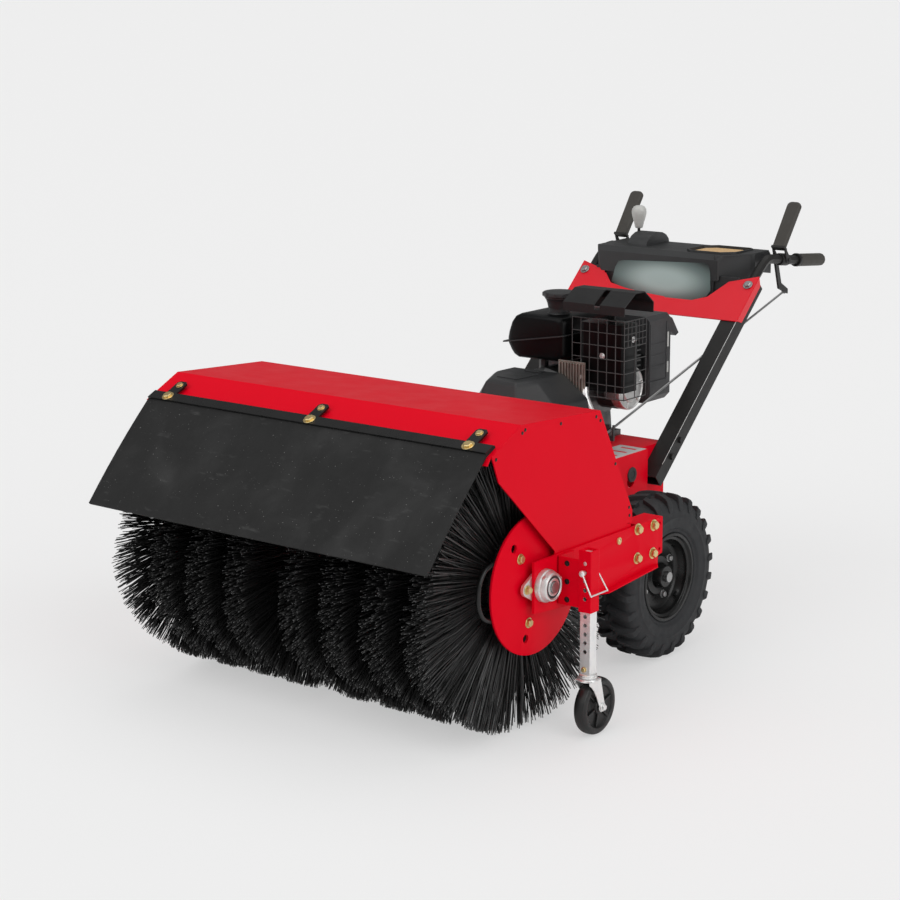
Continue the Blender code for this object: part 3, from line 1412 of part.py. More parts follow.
def engine_block():
    """Crankcase on its base, with the finned cylinder and the side cover in one casting."""
    front = PIVOT_Y + ENGINE_FRONT
    rear = front + ENGINE_LENGTH
    crank_z = DECK_Z + CRANK_RISE
    radius = CRANKCASE_RADIUS
    profile = [
        (0.0, 0.0),
        (0.0, radius * 0.8),
        (0.020, radius),
        (ENGINE_LENGTH - 0.020, radius),
        (ENGINE_LENGTH, radius * 0.8),
        (ENGINE_LENGTH, 0.0),
    ]
    case = revolve(profile, 16, (ENGINE_X, front, crank_z), (0, 1, 0), closed=False)
    half = radius * 0.90
    foot = half + ENGINE_FOOT[0]
    step = DECK_Z + ENGINE_FOOT[1]
    foot_inset = ENGINE_FOOT[2]
    base = [
        (ENGINE_X - foot, DECK_Z),
        (ENGINE_X + foot, DECK_Z),
        (ENGINE_X + foot, step),
        (ENGINE_X + half, step),
        (ENGINE_X + half * 0.9, crank_z + 0.011),
        (ENGINE_X - half * 0.9, crank_z + 0.011),
        (ENGINE_X - half, step),
        (ENGINE_X - foot, step),
    ]
    unite(case, front_prism(base, front + foot_inset, rear - foot_inset))
    size = CYLINDER_SIZE / 2
    middle_x = TANK_LEFT_X + CYLINDER_CLEARANCE + size
    middle_y = rear - size - CYLINDER_CLEARANCE
    fins_low = crank_z + radius * 0.80
    core = size * 0.76
    core_top = fins_low + FIN_COUNT * FIN_PITCH
    core_low = (middle_x - core, middle_y - core, crank_z + 0.010)
    unite(case, block(core_low, (middle_x + core, middle_y + core, core_top)))
    for i in range(FIN_COUNT):
        z = fins_low + i * FIN_PITCH
        fin_low = (middle_x - size, middle_y - size, z)
        unite(case, block(fin_low, (middle_x + size, middle_y + size, z + FIN_THICKNESS)))
    cover_z = DECK_Z + SIDE_COVER_RISE
    start = (ENGINE_X + radius * 0.4, middle_y, cover_z)
    end = (ENGINE_X + radius + SIDE_COVER_REACH, middle_y, cover_z)
    unite(case, cylinder(SIDE_COVER_RADIUS, start, end, segments=16, turn=0.1))
    boss_start = (ENGINE_X, rear - FUSE, crank_z)
    boss_end = (ENGINE_X, PIVOT_Y + BLOWER_FRONT - GAP, crank_z)
    unite(case, cylinder(FAN_BOSS_RADIUS, boss_start, boss_end, segments=14))
    post_x = (TANK_LEFT_X + TANK_RIGHT_X) / 2
    post_low = crank_z + radius * 0.75
    post_high = DECK_Z + TANK_LOW - GAP
    for y in (front + TANK_POST_INSET, rear - TANK_POST_INSET):
        unite(case, cylinder(TANK_POST_RADIUS, (post_x, y, post_low), (post_x, y, post_high), segments=8))
    return case


def fuel_tank():
    """The octagon tank with its mid seam and filler neck."""
    front = PIVOT_Y + TANK_FRONT
    rear = front + TANK_LENGTH
    low = DECK_Z + TANK_LOW
    high = DECK_Z + TANK_HIGH
    left = TANK_LEFT_X
    right = TANK_RIGHT_X
    middle = (low + high) / 2 - 0.015
    outline = [
        (right + 0.044, low),
        (left - 0.012, low),
        (left, low + 0.012),
        (left, high - 0.016),
        (left - 0.016, high),
        (right + 0.062, high),
        (right + 0.040, high - 0.014),
        (right + 0.006, middle + 0.006),
        (right + 0.006, middle - 0.006),
        (right + 0.030, low + 0.014),
    ]
    tank = front_prism(outline, front, rear)
    seam = rectangle(right, left + 0.005, front - 0.006, rear + 0.006)
    unite(tank, plan_prism(seam, middle - TANK_SEAM / 2, middle + TANK_SEAM / 2))
    neck_y = PIVOT_Y + CAP_Y
    neck = cylinder(NECK_RADIUS, (CAP_X, neck_y, high - 0.004), (CAP_X, neck_y, high + 0.030), segments=14)
    return unite(tank, neck)


def fuel_cap():
    """The ribbed filler cap, over the neck."""
    base = DECK_Z + TANK_HIGH + 0.014
    centre = (CAP_X, PIVOT_Y + CAP_Y)
    points = []
    for i in range(2 * CAP_RIBS):
        radius = CAP_RADIUS if i % 2 else CAP_RADIUS - 0.003
        points.append(circle(radius, 2 * CAP_RIBS, centre)[i])
    cap = plan_prism(points, base + 0.012, base + CAP_HEIGHT)
    unite(cap, cylinder(NECK_RADIUS + 0.009, (*centre, base), (*centre, base + 0.014), segments=14))
    crown = base + CAP_HEIGHT
    unite(cap, cylinder(CAP_RADIUS * 0.8, (*centre, crown - 0.008), (*centre, crown + 0.003), segments=16))
    bore = NECK_RADIUS + 2 * RUNNING
    return cut(cap, cylinder(bore, (*centre, base - 0.01), (*centre, base + 0.020), segments=18))


def guard_range():
    """The muffler guard's box."""
    front = PIVOT_Y + TANK_FRONT
    return (GUARD_LOW_X, GUARD_HIGH_X, front, front + GUARD_LENGTH, DECK_Z + GUARD_LOW, DECK_Z + GUARD_HIGH)


def muffler():
    """The muffler body with rounded edges and its pipe to the cylinder."""
    x_low, x_high, y_low, y_high, z_low, z_high = guard_range()
    inset = MUFFLER_INSET
    low = (x_low + inset, y_low + inset, z_low + inset)
    high = (x_high - inset, y_high - inset, z_high - inset)
    body = block(low, high)
    round_edges(body, MUFFLER_CORNER, lambda a, b: abs(a.z - b.z) > inset, segments=3)
    cylinder_y = PIVOT_Y + ENGINE_FRONT + ENGINE_LENGTH - CYLINDER_SIZE - CYLINDER_CLEARANCE
    x = x_low + MUFFLER_PIPE[0]
    z = z_high - MUFFLER_PIPE[1]
    start = (x, high[1] - 4 * FUSE, z)
    return unite(body, cylinder(MUFFLER_PIPE_RADIUS, start, (x, cylinder_y - GAP, z), segments=10))


def muffler_guard():
    """The wire cage: a frame with rows and columns of bars on three faces."""
    x_low, x_high, y_low, y_high, z_low, z_high = guard_range()
    bar = GUARD_BAR
    outline = [
        (x_low, y_low),
        (x_high, y_low),
        (x_high, y_high),
        (x_high - bar, y_high),
        (x_high - bar, y_low + bar),
        (x_low, y_low + bar),
    ]
    plate = plan_prism(outline, z_low, z_high)
    width = (x_high - x_low - bar) / GUARD_COLUMNS
    height = (z_high - z_low - bar) / GUARD_ROWS
    depth = (y_high - y_low - bar) / GUARD_SIDE_COLUMNS
    reach = 3 * bar
    front_holes = []
    side_holes = []
    for row in range(GUARD_ROWS):
        low = z_low + bar + row * height
        high = low + height - bar
        for column in range(GUARD_COLUMNS):
            start = x_low + bar + column * width
            end = start + width - bar
            front_holes.append(block((start, y_low - reach, low), (end, y_low + reach, high)))
        for column in range(GUARD_SIDE_COLUMNS):
            start = y_low + bar + column * depth
            end = start + depth - bar
            side_holes.append(block((x_high - reach, start, low), (x_high + reach, end, high)))
    cut(plate, *front_holes)
    cut(plate, *side_holes)
    x = x_high - GUARD_STANDOFF
    for z in (z_low + GUARD_STANDOFF, z_high - GUARD_STANDOFF):
        start = (x, y_low + bar / 2, z)
        end = (x, y_low + MUFFLER_INSET - GAP, z)
        unite(plate, cylinder(GUARD_STANDOFF_RADIUS, start, end, segments=6))
    return plate


def heat_deflector():
    """The folded sheet roof over the muffler, open at both ends."""
    y_low = PIVOT_Y + TANK_FRONT - ROOF_OVERHANG[0]
    y_high = PIVOT_Y + TANK_FRONT + GUARD_LENGTH + ROOF_OVERHANG[1]
    base = DECK_Z + GUARD_HIGH + ROOF_LIFT
    eaves = base + ROOF_RISES[0]
    crest = base + ROOF_RISES[1]
    middle = (y_low + y_high) / 2
    path = [
        (y_low, base),
        (y_low, eaves),
        (middle + ROOF_CREST[0], crest),
        (middle + ROOF_CREST[1], crest),
        (y_high, eaves),
        (y_high, base - ROOF_DROP),
    ]
    roof = side_prism(thicken(path, ROOF_SHEET), ROOF_LOW_X, ROOF_HIGH_X)
    slot_low, slot_high = [ROOF_LOW_X + x for x in ROOF_SLOT_X]
    slot_z = base + ROOF_SLOT_RISE
    slot = block((slot_low, y_low - ROOF_LIFT, slot_z), (slot_high, middle - ROOF_SLOT_RISE, crest + ROOF_LIFT))
    cut(roof, slot)
    x_low, x_high = [ROOF_LOW_X + x for x in ROOF_BRACKET]
    foot_z = DECK_Z + GUARD_HIGH - 2 * MUFFLER_INSET
    seat_y = guard_range()[3] - MUFFLER_INSET + GAP
    leg_y = y_high - ROOF_SHEET - ROOF_FOOT_SHEET
    leg = block((x_low, leg_y, foot_z), (x_high, y_high - ROOF_SHEET + FUSE / 2, slot_z))
    foot = block((x_low, seat_y, foot_z), (x_high, leg_y + FUSE, foot_z + ROOF_FOOT_SHEET))
    return unite(roof, leg, foot)


def blower_housing():
    """The fan housing with a flared cowl behind and the starter's round cover."""
    front = PIVOT_Y + BLOWER_FRONT
    rear = front + BLOWER_LENGTH
    half = BLOWER_HALF_WIDTH
    low = DECK_Z + BLOWER_LOW
    high = DECK_Z + BLOWER_TOP
    chamfer = BLOWER_CHAMFER
    outline = [
        (-half + BLOWER_FOOT_CHAMFER, low),
        (half - 0.015, low + 0.006),
        (half, low + 0.022),
        (half, high - 0.012),
        (half - 0.012, high),
        (-half + chamfer, high),
        (-half, high - chamfer),
        (-half, low + BLOWER_FOOT_CHAMFER),
    ]
    housing = front_prism(outline, front, rear)
    middle_z = (low + high) / 2
    depth = STARTER_DEPTH
    profile = [
        (0.0, 0.0),
        (0.0, STARTER_RADIUS),
        (depth * 0.85, STARTER_RADIUS * 0.86),
        (depth, STARTER_RADIUS * 0.6),
        (depth, 0.0),
    ]
    cover = revolve(profile, 20, (0, rear - FUSE, middle_z), (0, 1, 0), closed=False)
    cowl = [
        (rear - 0.010, high - 0.004),
        (rear + COWL_REACH * 0.35, high - 0.016),
        (rear + COWL_REACH, high - 0.058),
        (rear + COWL_REACH - 0.014, high - 0.064),
        (rear - 0.010, high - 0.040),
    ]
    unite(housing, cover, side_prism(cowl, -half + 0.05, half - 0.006))
    face = rear - FUSE + depth
    hole = ROPE_RADIUS + 2 * RUNNING
    start = (0, face - ROPE_LENGTH - ROPE_HOLE_MARGIN, middle_z)
    return cut(housing, cylinder(hole, start, (0, face + PULL_GRIP_BACK, middle_z), segments=8))


def pull_grip():
    """The starter's pull grip with the stretch of rope that runs into the housing."""
    face = PIVOT_Y + BLOWER_FRONT + BLOWER_LENGTH - FUSE + STARTER_DEPTH
    z = DECK_Z + (BLOWER_LOW + BLOWER_TOP) / 2
    start = face + PULL_GRIP_BACK
    half = PULL_GRIP_HALF
    thin, thick = PULL_GRIP_RADII
    bow = start + 0.1 * half
    path = [(-half, start, z), (-0.375 * half, bow, z), (0.375 * half, bow, z), (half, start, z)]
    bar = sweep(path, [thin, thick, thick, thin], 8)
    rope = cylinder(ROPE_RADIUS, (0, face - ROPE_LENGTH, z), (0, start, z), segments=8)
    return unite(bar, rope)


# Handles and console


def leg_point(along, up):
    """A point in the leg's own slope: distance from its foot, height over its middle."""
    return LEG_START + LEG_ALONG * along + LEG_UP * up


def leg_outline(overrun, half):
    """A strip along the leg, so much longer at both ends and so far to both sides."""
    low = -overrun
    high = LEG_LENGTH + overrun
    corners = [leg_point(low, -half), leg_point(high, -half), leg_point(high, half), leg_point(low, half)]
    return [tuple(point) for point in corners]


def handle_leg(side):
    """The channel leg, open inwards, with its bolt heads."""
    half = LEG_DEPTH / 2
    leg = side_prism(leg_outline(0.0, half), side * LEG_INNER_X, side * LEG_OUTER_X)
    hollow = leg_outline(LEG_WIDTH, half - LEG_WALL)
    cut(leg, side_prism(hollow, side * (LEG_INNER_X - LEG_WALL), side * (LEG_OUTER_X - LEG_WALL)))
    places = []
    for along in LEG_BOLTS:
        point = leg_point(along, 0)
        places.append((side * LEG_OUTER_X, point.x, point.y))
    return unite(leg, hex_heads(places, (side, 0, 0), LEG_HEAD_RADIUS, LEG_HEAD_HEIGHT))


def console_bracket():
    """The sheet on the legs' front faces, folded round their outer sides and cut out on top."""
    low = LEG_DEPTH / 2 + GAP
    side_x = LEG_OUTER_X + GAP
    half = side_x + BRACKET_SHEET
    edge = half - FUSE
    cut_out = [(half - x, BRACKET_TOP - drop) for x, drop in zip(BRACKET_CUT_X, BRACKET_CUT_DROP)]
    outline = [(-edge, BRACKET_LOW), (edge, BRACKET_LOW), (edge, BRACKET_TOP)]
    outline += cut_out
    outline += [(-x, along) for x, along in reversed(cut_out)]
    outline.append((-edge, BRACKET_TOP))
    sheet = slope_sheet(outline, low, low + BRACKET_SHEET)
    near, far = BRACKET_FOLD_LEAD
    for side in (-1, 1):
        inner = side * side_x
        outer = side * half
        fold = [
            leg_point(BRACKET_LOW + near, low + BRACKET_SHEET * 0.5),
            leg_point(BRACKET_LOW + far, low - BRACKET_WRAP),
            leg_point(BRACKET_TOP - far, low - BRACKET_WRAP),
            leg_point(BRACKET_TOP - near, low + BRACKET_SHEET * 0.5),
        ]
        unite(sheet, side_prism([tuple(point) for point in fold], inner, outer))
    normal = Vector((0, LEG_UP.x, LEG_UP.y))
    places = []
    for x in (-half + BRACKET_BOLT[0], half - BRACKET_BOLT[0]):
        point = leg_point(BRACKET_TOP - BRACKET_BOLT[1], low + BRACKET_SHEET)
        places.append(Vector((x, *point)))
    return unite(sheet, hex_heads(places, normal, LEG_HEAD_RADIUS, BRACKET_HEAD_HEIGHT))


def slope_sheet(outline, low, high):
    """A sheet in the legs' slope, drawn in (X, distance from the legs' foot)."""
    corners = []
    for x, along in outline:
        corners.append(Vector((x, *leg_point(along, low))))
    normal = Vector((0, LEG_UP.x, LEG_UP.y))
    return prism(corners, normal * (high - low))


def console_profile(inset):
    """The console's side outline, seated on the bracket, or its inside, left open below."""
    front = CONSOLE_FRONT_Y
    rear = front + CONSOLE_DEPTH
    top = CONSOLE_TOP
    skirt = 0.03 if inset else 0.0
    seat = LEG_DEPTH / 2 + BRACKET_SHEET + 2 * GAP
    along = (front - LEG_START.x + seat * LEG_ALONG.y) / LEG_ALONG.x
    low = leg_point(along, seat)
    bevel_back, bevel_low = CONSOLE_TOP_BEVEL
    high = leg_point(BRACKET_TOP + bevel_low, seat)
    return [
        (front + inset, low.y - skirt),
        (front + inset, top - bevel_low - inset),
        (front + bevel_back + inset, top - inset),
        (rear - bevel_low - inset, top + CONSOLE_CROWN - inset),
        (rear - inset, top - bevel_back - inset),
        (rear - inset, top - CONSOLE_REAR_HEIGHT - skirt),
        (high.x, high.y - skirt),
    ]


def console():
    """The moulded console: a shell open below, with a tray and a slotted quadrant."""
    half = CONSOLE_HALF_WIDTH
    wall = CONSOLE_WALL
    body = side_prism(console_profile(0.0), -half, half)
    front = CONSOLE_FRONT_Y
    round_edges(body, CONSOLE_CORNER, lambda a, b: abs(a.x - b.x) < FUSE and min(a.y, b.y) < front + FUSE
                and abs(a.z - b.z) > CONSOLE_CORNER)
    panel_front = front + PANEL_INSET
    panel_rear = front + PANEL_DEPTH
    top = CONSOLE_TOP
    panel_low = (-PANEL_HALF_WIDTH, panel_front, PANEL_LOW)
    unite(body, block(panel_low, (PANEL_HALF_WIDTH, panel_rear, top - PANEL_TOP_DROP)))
    cut(body, side_prism(console_profile(wall), -half + CONSOLE_END_WALL, half - CONSOLE_END_WALL))
    low = (-PANEL_HALF_WIDTH + wall, panel_front + wall, PANEL_LOW - wall)
    cut(body, block(low, (PANEL_HALF_WIDTH - wall, panel_rear - wall, top - TRAY_DEPTH)))
    floor = top - TRAY_DEPTH
    unite(body, plan_prism(tray_outline(0.0), floor - wall, top + TRAY_RIM))
    cut(body, plan_prism(tray_outline(wall), floor, top + 0.02))
    unite(body, quadrant())
    reach = QUADRANT_RADIUS * 0.82
    slot_low = (SHIFT_X - SHIFT_SLOT_HALF, SHIFT_PIVOT.x - reach, SHIFT_PIVOT.y)
    cut(body, block(slot_low, (SHIFT_X + SHIFT_SLOT_HALF, SHIFT_PIVOT.x + reach, top + QUADRANT_RADIUS)))
    ear_half = SHIFT_EAR_HALF
    sheet = SHIFT_EAR_SHEET
    for x in (SHIFT_X - ear_half - sheet, SHIFT_X + ear_half):
        ear_low = (x, SHIFT_PIVOT.x - ear_half, SHIFT_PIVOT.y - ear_half)
        unite(body, block(ear_low, (x + sheet, SHIFT_PIVOT.x + ear_half, top - wall * 0.5)))
    start = (SHIFT_X - ear_half - 2 * FUSE, *SHIFT_PIVOT)
    end = (SHIFT_X + ear_half + 2 * FUSE, *SHIFT_PIVOT)
    return unite(body, cylinder(SHIFT_PIN_RADIUS, start, end, segments=8))


def tray_outline(inset):
    """The tray's outline in plan, or its inside."""
    low_x = TRAY_X[0] + inset
    high_x = TRAY_X[1] - inset
    low_y = CONSOLE_FRONT_Y + TRAY_Y[0] + inset
    high_y = CONSOLE_FRONT_Y + TRAY_Y[1] - inset
    small, middle, large = TRAY_CORNERS
    return [
        (low_x, low_y + middle),
        (low_x + middle, low_y),
        (high_x - large, low_y),
        (high_x, low_y + large),
        (high_x, high_y - small),
        (high_x - small, high_y),
        (low_x + large, high_y),
        (low_x, high_y - large),
    ]


def quadrant():
    """The rounded hump beside the shift slot."""
    steps = 8
    outline = []
    for i in range(steps + 1):
        angle = math.pi * i / steps
        y = SHIFT_PIVOT.x - 0.012 + QUADRANT_RADIUS * math.cos(angle)
        z = CONSOLE_TOP - 0.002 + QUADRANT_RADIUS * 0.62 * math.sin(angle)
        outline.append((y, z))
    return side_prism(outline, QUADRANT_X[0], QUADRANT_X[1])


def shift_lever():
    """The shift rod on its pivot eye, with a tapered knob."""
    x = SHIFT_X
    y, z = SHIFT_PIVOT
    top = z + SHIFT_LENGTH
    half = SHIFT_EYE_HALF
    eye = cylinder(SHIFT_EYE_RADIUS, (x - half, y, z), (x + half, y, z), segments=10)
    unite(eye, cylinder(SHIFT_ROD_RADIUS, (x, y, z), (x, y, top - KNOB_LENGTH * 0.9), segments=8))
    profile = [
        (-KNOB_LENGTH, 0.0),
        (-KNOB_LENGTH, KNOB_RADIUS * 0.42),
        (-KNOB_LENGTH * 0.45, KNOB_RADIUS * 0.75),
        (-0.010, KNOB_RADIUS),
        (-0.002, KNOB_RADIUS * 0.85),
        (0.0, 0.0),
    ]
    unite(eye, revolve(profile, 10, (x, y, top), (0, 0, 1), closed=False))
    bore = SHIFT_PIN_RADIUS + 2 * RUNNING
    return cut(eye, cylinder(bore, (x - SHIFT_EYE_RADIUS, y, z), (x + SHIFT_EYE_RADIUS, y, z), segments=8))


def handlebar(side):
    """The bent tube from the leg's channel to the grip, with the lever's pivot pin."""
    x = side * BAR_X
    lower = leg_point(LEG_LENGTH - BAR_INSERTION, BAR_SEAT)
    upper = leg_point(LEG_LENGTH + BAR_STRAIGHT, BAR_SEAT)
    end = GRIP_START + GRIP_ALONG * (GRIP_LENGTH - GRIP_END_WALL - FUSE)
    corners = [(x, *lower), (x, *upper), (x, *BAR_CREST), (x, *GRIP_START), (x, *end)]
    tube = sweep(bend(corners, BAR_BEND_RADIUS, 2), BAR_RADIUS, 8)
    reach = LEVER_WIDTH / 2 + LEVER_PIN_OVERRUN
    start = (x - reach, *LEVER_PIVOT)
    return unite(tube, cylinder(LEVER_PIN_RADIUS, start, (x + reach, *LEVER_PIVOT), segments=8))


def grip(side):
    """The soft grip over the handlebar's end."""
    bore = BAR_RADIUS + 2 * GAP
    depth = GRIP_LENGTH - GRIP_END_WALL
    profile = [
        (depth, 0.0),
        (depth, bore),
        (0.0, bore),
        (0.0, GRIP_RADIUS),
        (GRIP_LENGTH - GRIP_EDGE, GRIP_RADIUS),
        (GRIP_LENGTH, GRIP_RADIUS - GRIP_EDGE),
        (GRIP_LENGTH, 0.0),
    ]
    start = (side * BAR_X, *GRIP_START)
    direction = (0, *GRIP_ALONG)
    return revolve(profile, 12, start, direction, closed=False)


def hand_lever(side):
    """The padded squeeze lever on two cheeks; the left one also has the rod's crank arm."""
    x = side * BAR_X
    along = Vector((math.cos(LEVER_LEAN), math.sin(LEVER_LEAN)))
    across = Vector((-along.y, along.x))
    half = LEVER_THICKNESS / 2
    foot = LEVER_PIVOT + Vector(LEVER_FOOT)

    def place(distance, height):
        return tuple(foot + along * distance + across * height)

    end = LEVER_LENGTH
    outline = [
        place(0.0, -half),
        place(end - 0.006, -half),
        place(end, -half * 0.3),
        place(end, half * 0.3),
        place(end - 0.006, half),
        place(0.0, half),
    ]
    width = LEVER_WIDTH / 2
    pad = side_prism(outline, x - width, x + width)
    radius = CHEEK_RADIUS
    cheek = [place(0.004, -half * 0.9), place(0.004, half * 0.9)]
    for turn in (180, 225, 270, 315, 360):
        angle = math.radians(turn)
        cheek.append((LEVER_PIVOT.x + radius * math.cos(angle), LEVER_PIVOT.y + radius * math.sin(angle)))
    for end_x in (-1, 1):
        outer = x + end_x * (width - GAP)
        unite(pad, side_prism(cheek, outer - end_x * CHEEK_THICKNESS, outer))
    if side > 0:
        knee = LEVER_PIVOT + Vector(CRANK_KNEE)
        hook = CRANK_END
        arm_outline = [
            (LEVER_PIVOT.x - 0.007, LEVER_PIVOT.y + 0.004),
            (LEVER_PIVOT.x + 0.007, LEVER_PIVOT.y + 0.006),
            (knee.x + 0.010, knee.y + 0.008),
            (hook.x + 0.006, hook.y + 0.007),
            (hook.x + 0.006, hook.y - 0.006),
            (knee.x - 0.002, knee.y - 0.006),
        ]
        unite(pad, side_prism(arm_outline, CRANK_X, CHEEK_X + CHEEK_THICKNESS * 0.5))
        pin_end = ROD_X - ROD_RADIUS - CHEEK_THICKNESS
        pin = cylinder(CRANK_PIN_RADIUS, (CRANK_X + FUSE, *hook), (pin_end, *hook), segments=8)
        unite(pad, pin)
    bore = LEVER_PIN_RADIUS + RUNNING
    reach = 0.03
    start = (x - reach, *LEVER_PIVOT)
    return cut(pad, cylinder(bore, start, (x + reach, *LEVER_PIVOT), segments=12))


def rod_height(y):
    """The control rod's height at a place along Y."""
    return CRANK_END.y - ROD_SLOPE * (CRANK_END.x - y)


def control_rod():
    """The straight rod from the left lever's crank to its guide, with its tension spring."""
    low_y = PIVOT_Y + COVER_FRONT + COVER_LENGTH - ROD_OVERRUN
    spring_low = PIVOT_Y + ROD_SPRING[0]
    spring_high = PIVOT_Y + ROD_SPRING[1]
    taper = ROD_SPRING_TAPER
    stations = [
        (low_y, ROD_RADIUS),
        (spring_low - taper, ROD_RADIUS),
        (spring_low, ROD_SPRING_RADIUS),
        (spring_high, ROD_SPRING_RADIUS),
        (spring_high + taper, ROD_RADIUS),
        (CRANK_END.x, ROD_RADIUS),
    ]
    path = [(ROD_X, y, rod_height(y)) for y, _ in stations]
    rod = sweep(path, [radius for _, radius in stations], 8)
    eye_half = ROD_RADIUS * 0.9
    start = (ROD_X - eye_half, *CRANK_END)
    end = (ROD_X + eye_half, *CRANK_END)
    unite(rod, cylinder(ROD_EYE_RADIUS, start, end, segments=12))
    reach = ROD_EYE_RADIUS
    bore_start = (ROD_X - reach, *CRANK_END)
    bore_end = (ROD_X + reach, *CRANK_END)
    return cut(rod, cylinder(CRANK_PIN_RADIUS + RUNNING, bore_start, bore_end, segments=10))


# Assembly


def machine_parts():
    """Every piece: its name, its body, its material and the object."""
    parts = [
        ("hood_panel", "broom_head", "red_paint", hood_panel()),
        ("rubber_flap", "broom_head", "rubber", rubber_flap()),
        ("flap_strap", "broom_head", "black_paint", flap_strap()),
        ("cross_member", "broom_head", "red_paint", cross_member()),
        ("gear_case", "broom_head", "red_paint", gear_case()),
        ("brush_shaft", "brush", "steel", brush_shaft()),
        ("axle", "chassis", "steel", axle()),
        ("chassis_frame", "chassis", "red_paint", chassis_frame()),
        ("gearbox", "chassis", "cast_aluminium", gearbox()),
        ("belt_cover", "chassis", "black_plastic", belt_cover()),
        ("engine_block", "chassis", "cast_aluminium", engine_block()),
        ("fuel_tank", "chassis", "black_plastic", fuel_tank()),
        ("fuel_cap", "fuel_cap", "black_plastic", fuel_cap()),
        ("muffler", "chassis", "black_paint", muffler()),
        ("muffler_guard", "chassis", "black_paint", muffler_guard()),
        ("heat_deflector", "chassis", "black_paint", heat_deflector()),
        ("blower_housing", "chassis", "black_plastic", blower_housing()),
        ("pull_grip", "pull_grip", "black_plastic", pull_grip()),
        ("console_bracket", "chassis", "red_paint", console_bracket()),
        ("console", "chassis", "black_plastic", console()),
        ("shift_lever", "shift_lever", "grey_plastic", shift_lever()),
        ("control_rod", "control_rod", "steel", control_rod()),
    ]
    for side, name in ((1, "left"), (-1, "right")):
        parts += [
            ("side_plate_" + name, "broom_head", "red_paint", side_plate(side)),
            ("arm_" + name, "broom_head", "red_paint", arm(side)),
            ("bearing_" + name, "broom_head", "zinc", bearing(side)),
            ("end_disc_" + name, "brush", "red_paint", end_disc(side)),
            ("caster_bracket_" + name, "broom_head", "red_paint", caster_bracket(side)),
            ("caster_stem_" + name, "broom_head", "zinc", caster_stem(side)),
            ("hitch_pin_" + name, "hitch_pin_" + name, "zinc", hitch_pin(side)),
            ("caster_fork_" + name, "caster_fork_" + name, "zinc", caster_fork(side)),
            ("caster_wheel_" + name, "caster_wheel_" + name, "rubber", caster_wheel(side)),
            ("tyre_" + name, "wheel_" + name, "rubber", tyre(side)),
            ("rim_" + name, "wheel_" + name, "black_paint", rim(side)),
            ("handle_leg_" + name, "chassis", "black_paint", handle_leg(side)),
            ("handlebar_" + name, "chassis", "black_paint", handlebar(side)),
            ("grip_" + name, "chassis", "rubber", grip(side)),
            ("hand_lever_" + name, "hand_lever_" + name, "rubber", hand_lever(side)),
        ]
        for i in range(WAFERS_PER_SIDE):
            centre = side * (WAFER_FIRST_X + i * WAFER_PITCH)
            phase = math.pi / BACKING_SIDES * (i % 2)
            parts.append(("wafer_" + name + "_" + str(i + 1), "brush", "bristle", wafer(centre, phase)))
    return parts


def body_anchors():
    """Each body's parent and a point on its joint's axis."""
    anchors = {
        "chassis": (None, Vector((0, 0, 0))),
        "broom_head": ("chassis", Vector((0, PIVOT_Y, CROSS_Z))),
        "brush": ("broom_head", Vector((0, 0, AXIS_Z))),
        "fuel_cap": ("chassis", Vector((CAP_X, PIVOT_Y + CAP_Y, DECK_Z + TANK_HIGH))),
        "shift_lever": ("chassis", Vector((SHIFT_X, *SHIFT_PIVOT))),
        "pull_grip": ("chassis", Vector((0, PIVOT_Y + BLOWER_FRONT + BLOWER_LENGTH, DECK_Z))),
    }
    for side, name in ((1, "left"), (-1, "right")):
        fork = Vector((side * CASTER_X, CASTER_Y, FORK_TOP_Z))
        small = Vector((side * CASTER_X, CASTER_Y + CASTER_TRAIL, CASTER_RADIUS))
        anchors["caster_fork_" + name] = ("broom_head", fork)
        anchors["caster_wheel_" + name] = ("caster_fork_" + name, small)
        anchors["wheel_" + name] = ("chassis", Vector((side * WHEEL_X, WHEEL_Y, WHEEL_Z)))
        anchors["hand_lever_" + name] = ("chassis", Vector((side * BAR_X, *LEVER_PIVOT)))
        pin = Vector((side * CASTER_X, CASTER_Y, SLEEVE_TOP_Z - PIN_DROP))
        anchors["hitch_pin_" + name] = ("broom_head", pin)
    anchors["control_rod"] = ("hand_lever_left", Vector((ROD_X, *CRANK_END)))
    return anchors


def make_material(name):
    """A plain material with the piece's colour, roughness and metallic value."""
    colour, roughness, metallic = MATERIALS[name]
    material = bpy.data.materials.new(name)
    material.use_nodes = True
    shader = material.node_tree.nodes["Principled BSDF"]
    shader.inputs["Base Color"].default_value = (*colour, 1.0)
    shader.inputs["Roughness"].default_value = roughness
    shader.inputs["Metallic"].default_value = metallic
    return material


def middle_y():
    """Half-way between the flap's front edge and the grips' ends."""
    front = min(point[0] for point in thicken(list(reversed(flap_path())), FLAP_THICKNESS))
    end = GRIP_START + GRIP_ALONG * GRIP_LENGTH
    rear = end.x + (GRIP_RADIUS - GRIP_EDGE) * math.sin(GRIP_DIP)
    return (front + rear) / 2


def build():
    """Make every piece and hang it on its body's empty."""
    clear_scene()
    anchors = body_anchors()
    empties = {}
    for body, (parent, anchor) in anchors.items():
        empty = bpy.data.objects.new("body_" + body, None)
        bpy.context.collection.objects.link(empty)
        empties[body] = empty
        if parent is None:
            empty.location = anchor - Vector((0, middle_y(), 0))
        else:
            empty.parent = empties[parent]
            empty.location = anchor - anchors[parent][1]
    materials = {name: make_material(name) for name in MATERIALS}
    for name, body, material, obj in machine_parts():
        obj.name = name
        obj.data.name = name
        obj.data.materials.clear()
        obj.data.materials.append(materials[material])
        obj.data.transform(Matrix.Translation(-anchors[body][1]))
        obj.parent = empties[body]
        obj.data.shade_smooth()
        obj.data.set_sharp_from_angle(angle=math.radians(35))


build()
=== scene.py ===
"""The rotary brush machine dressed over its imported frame, lit as in a plain studio."""

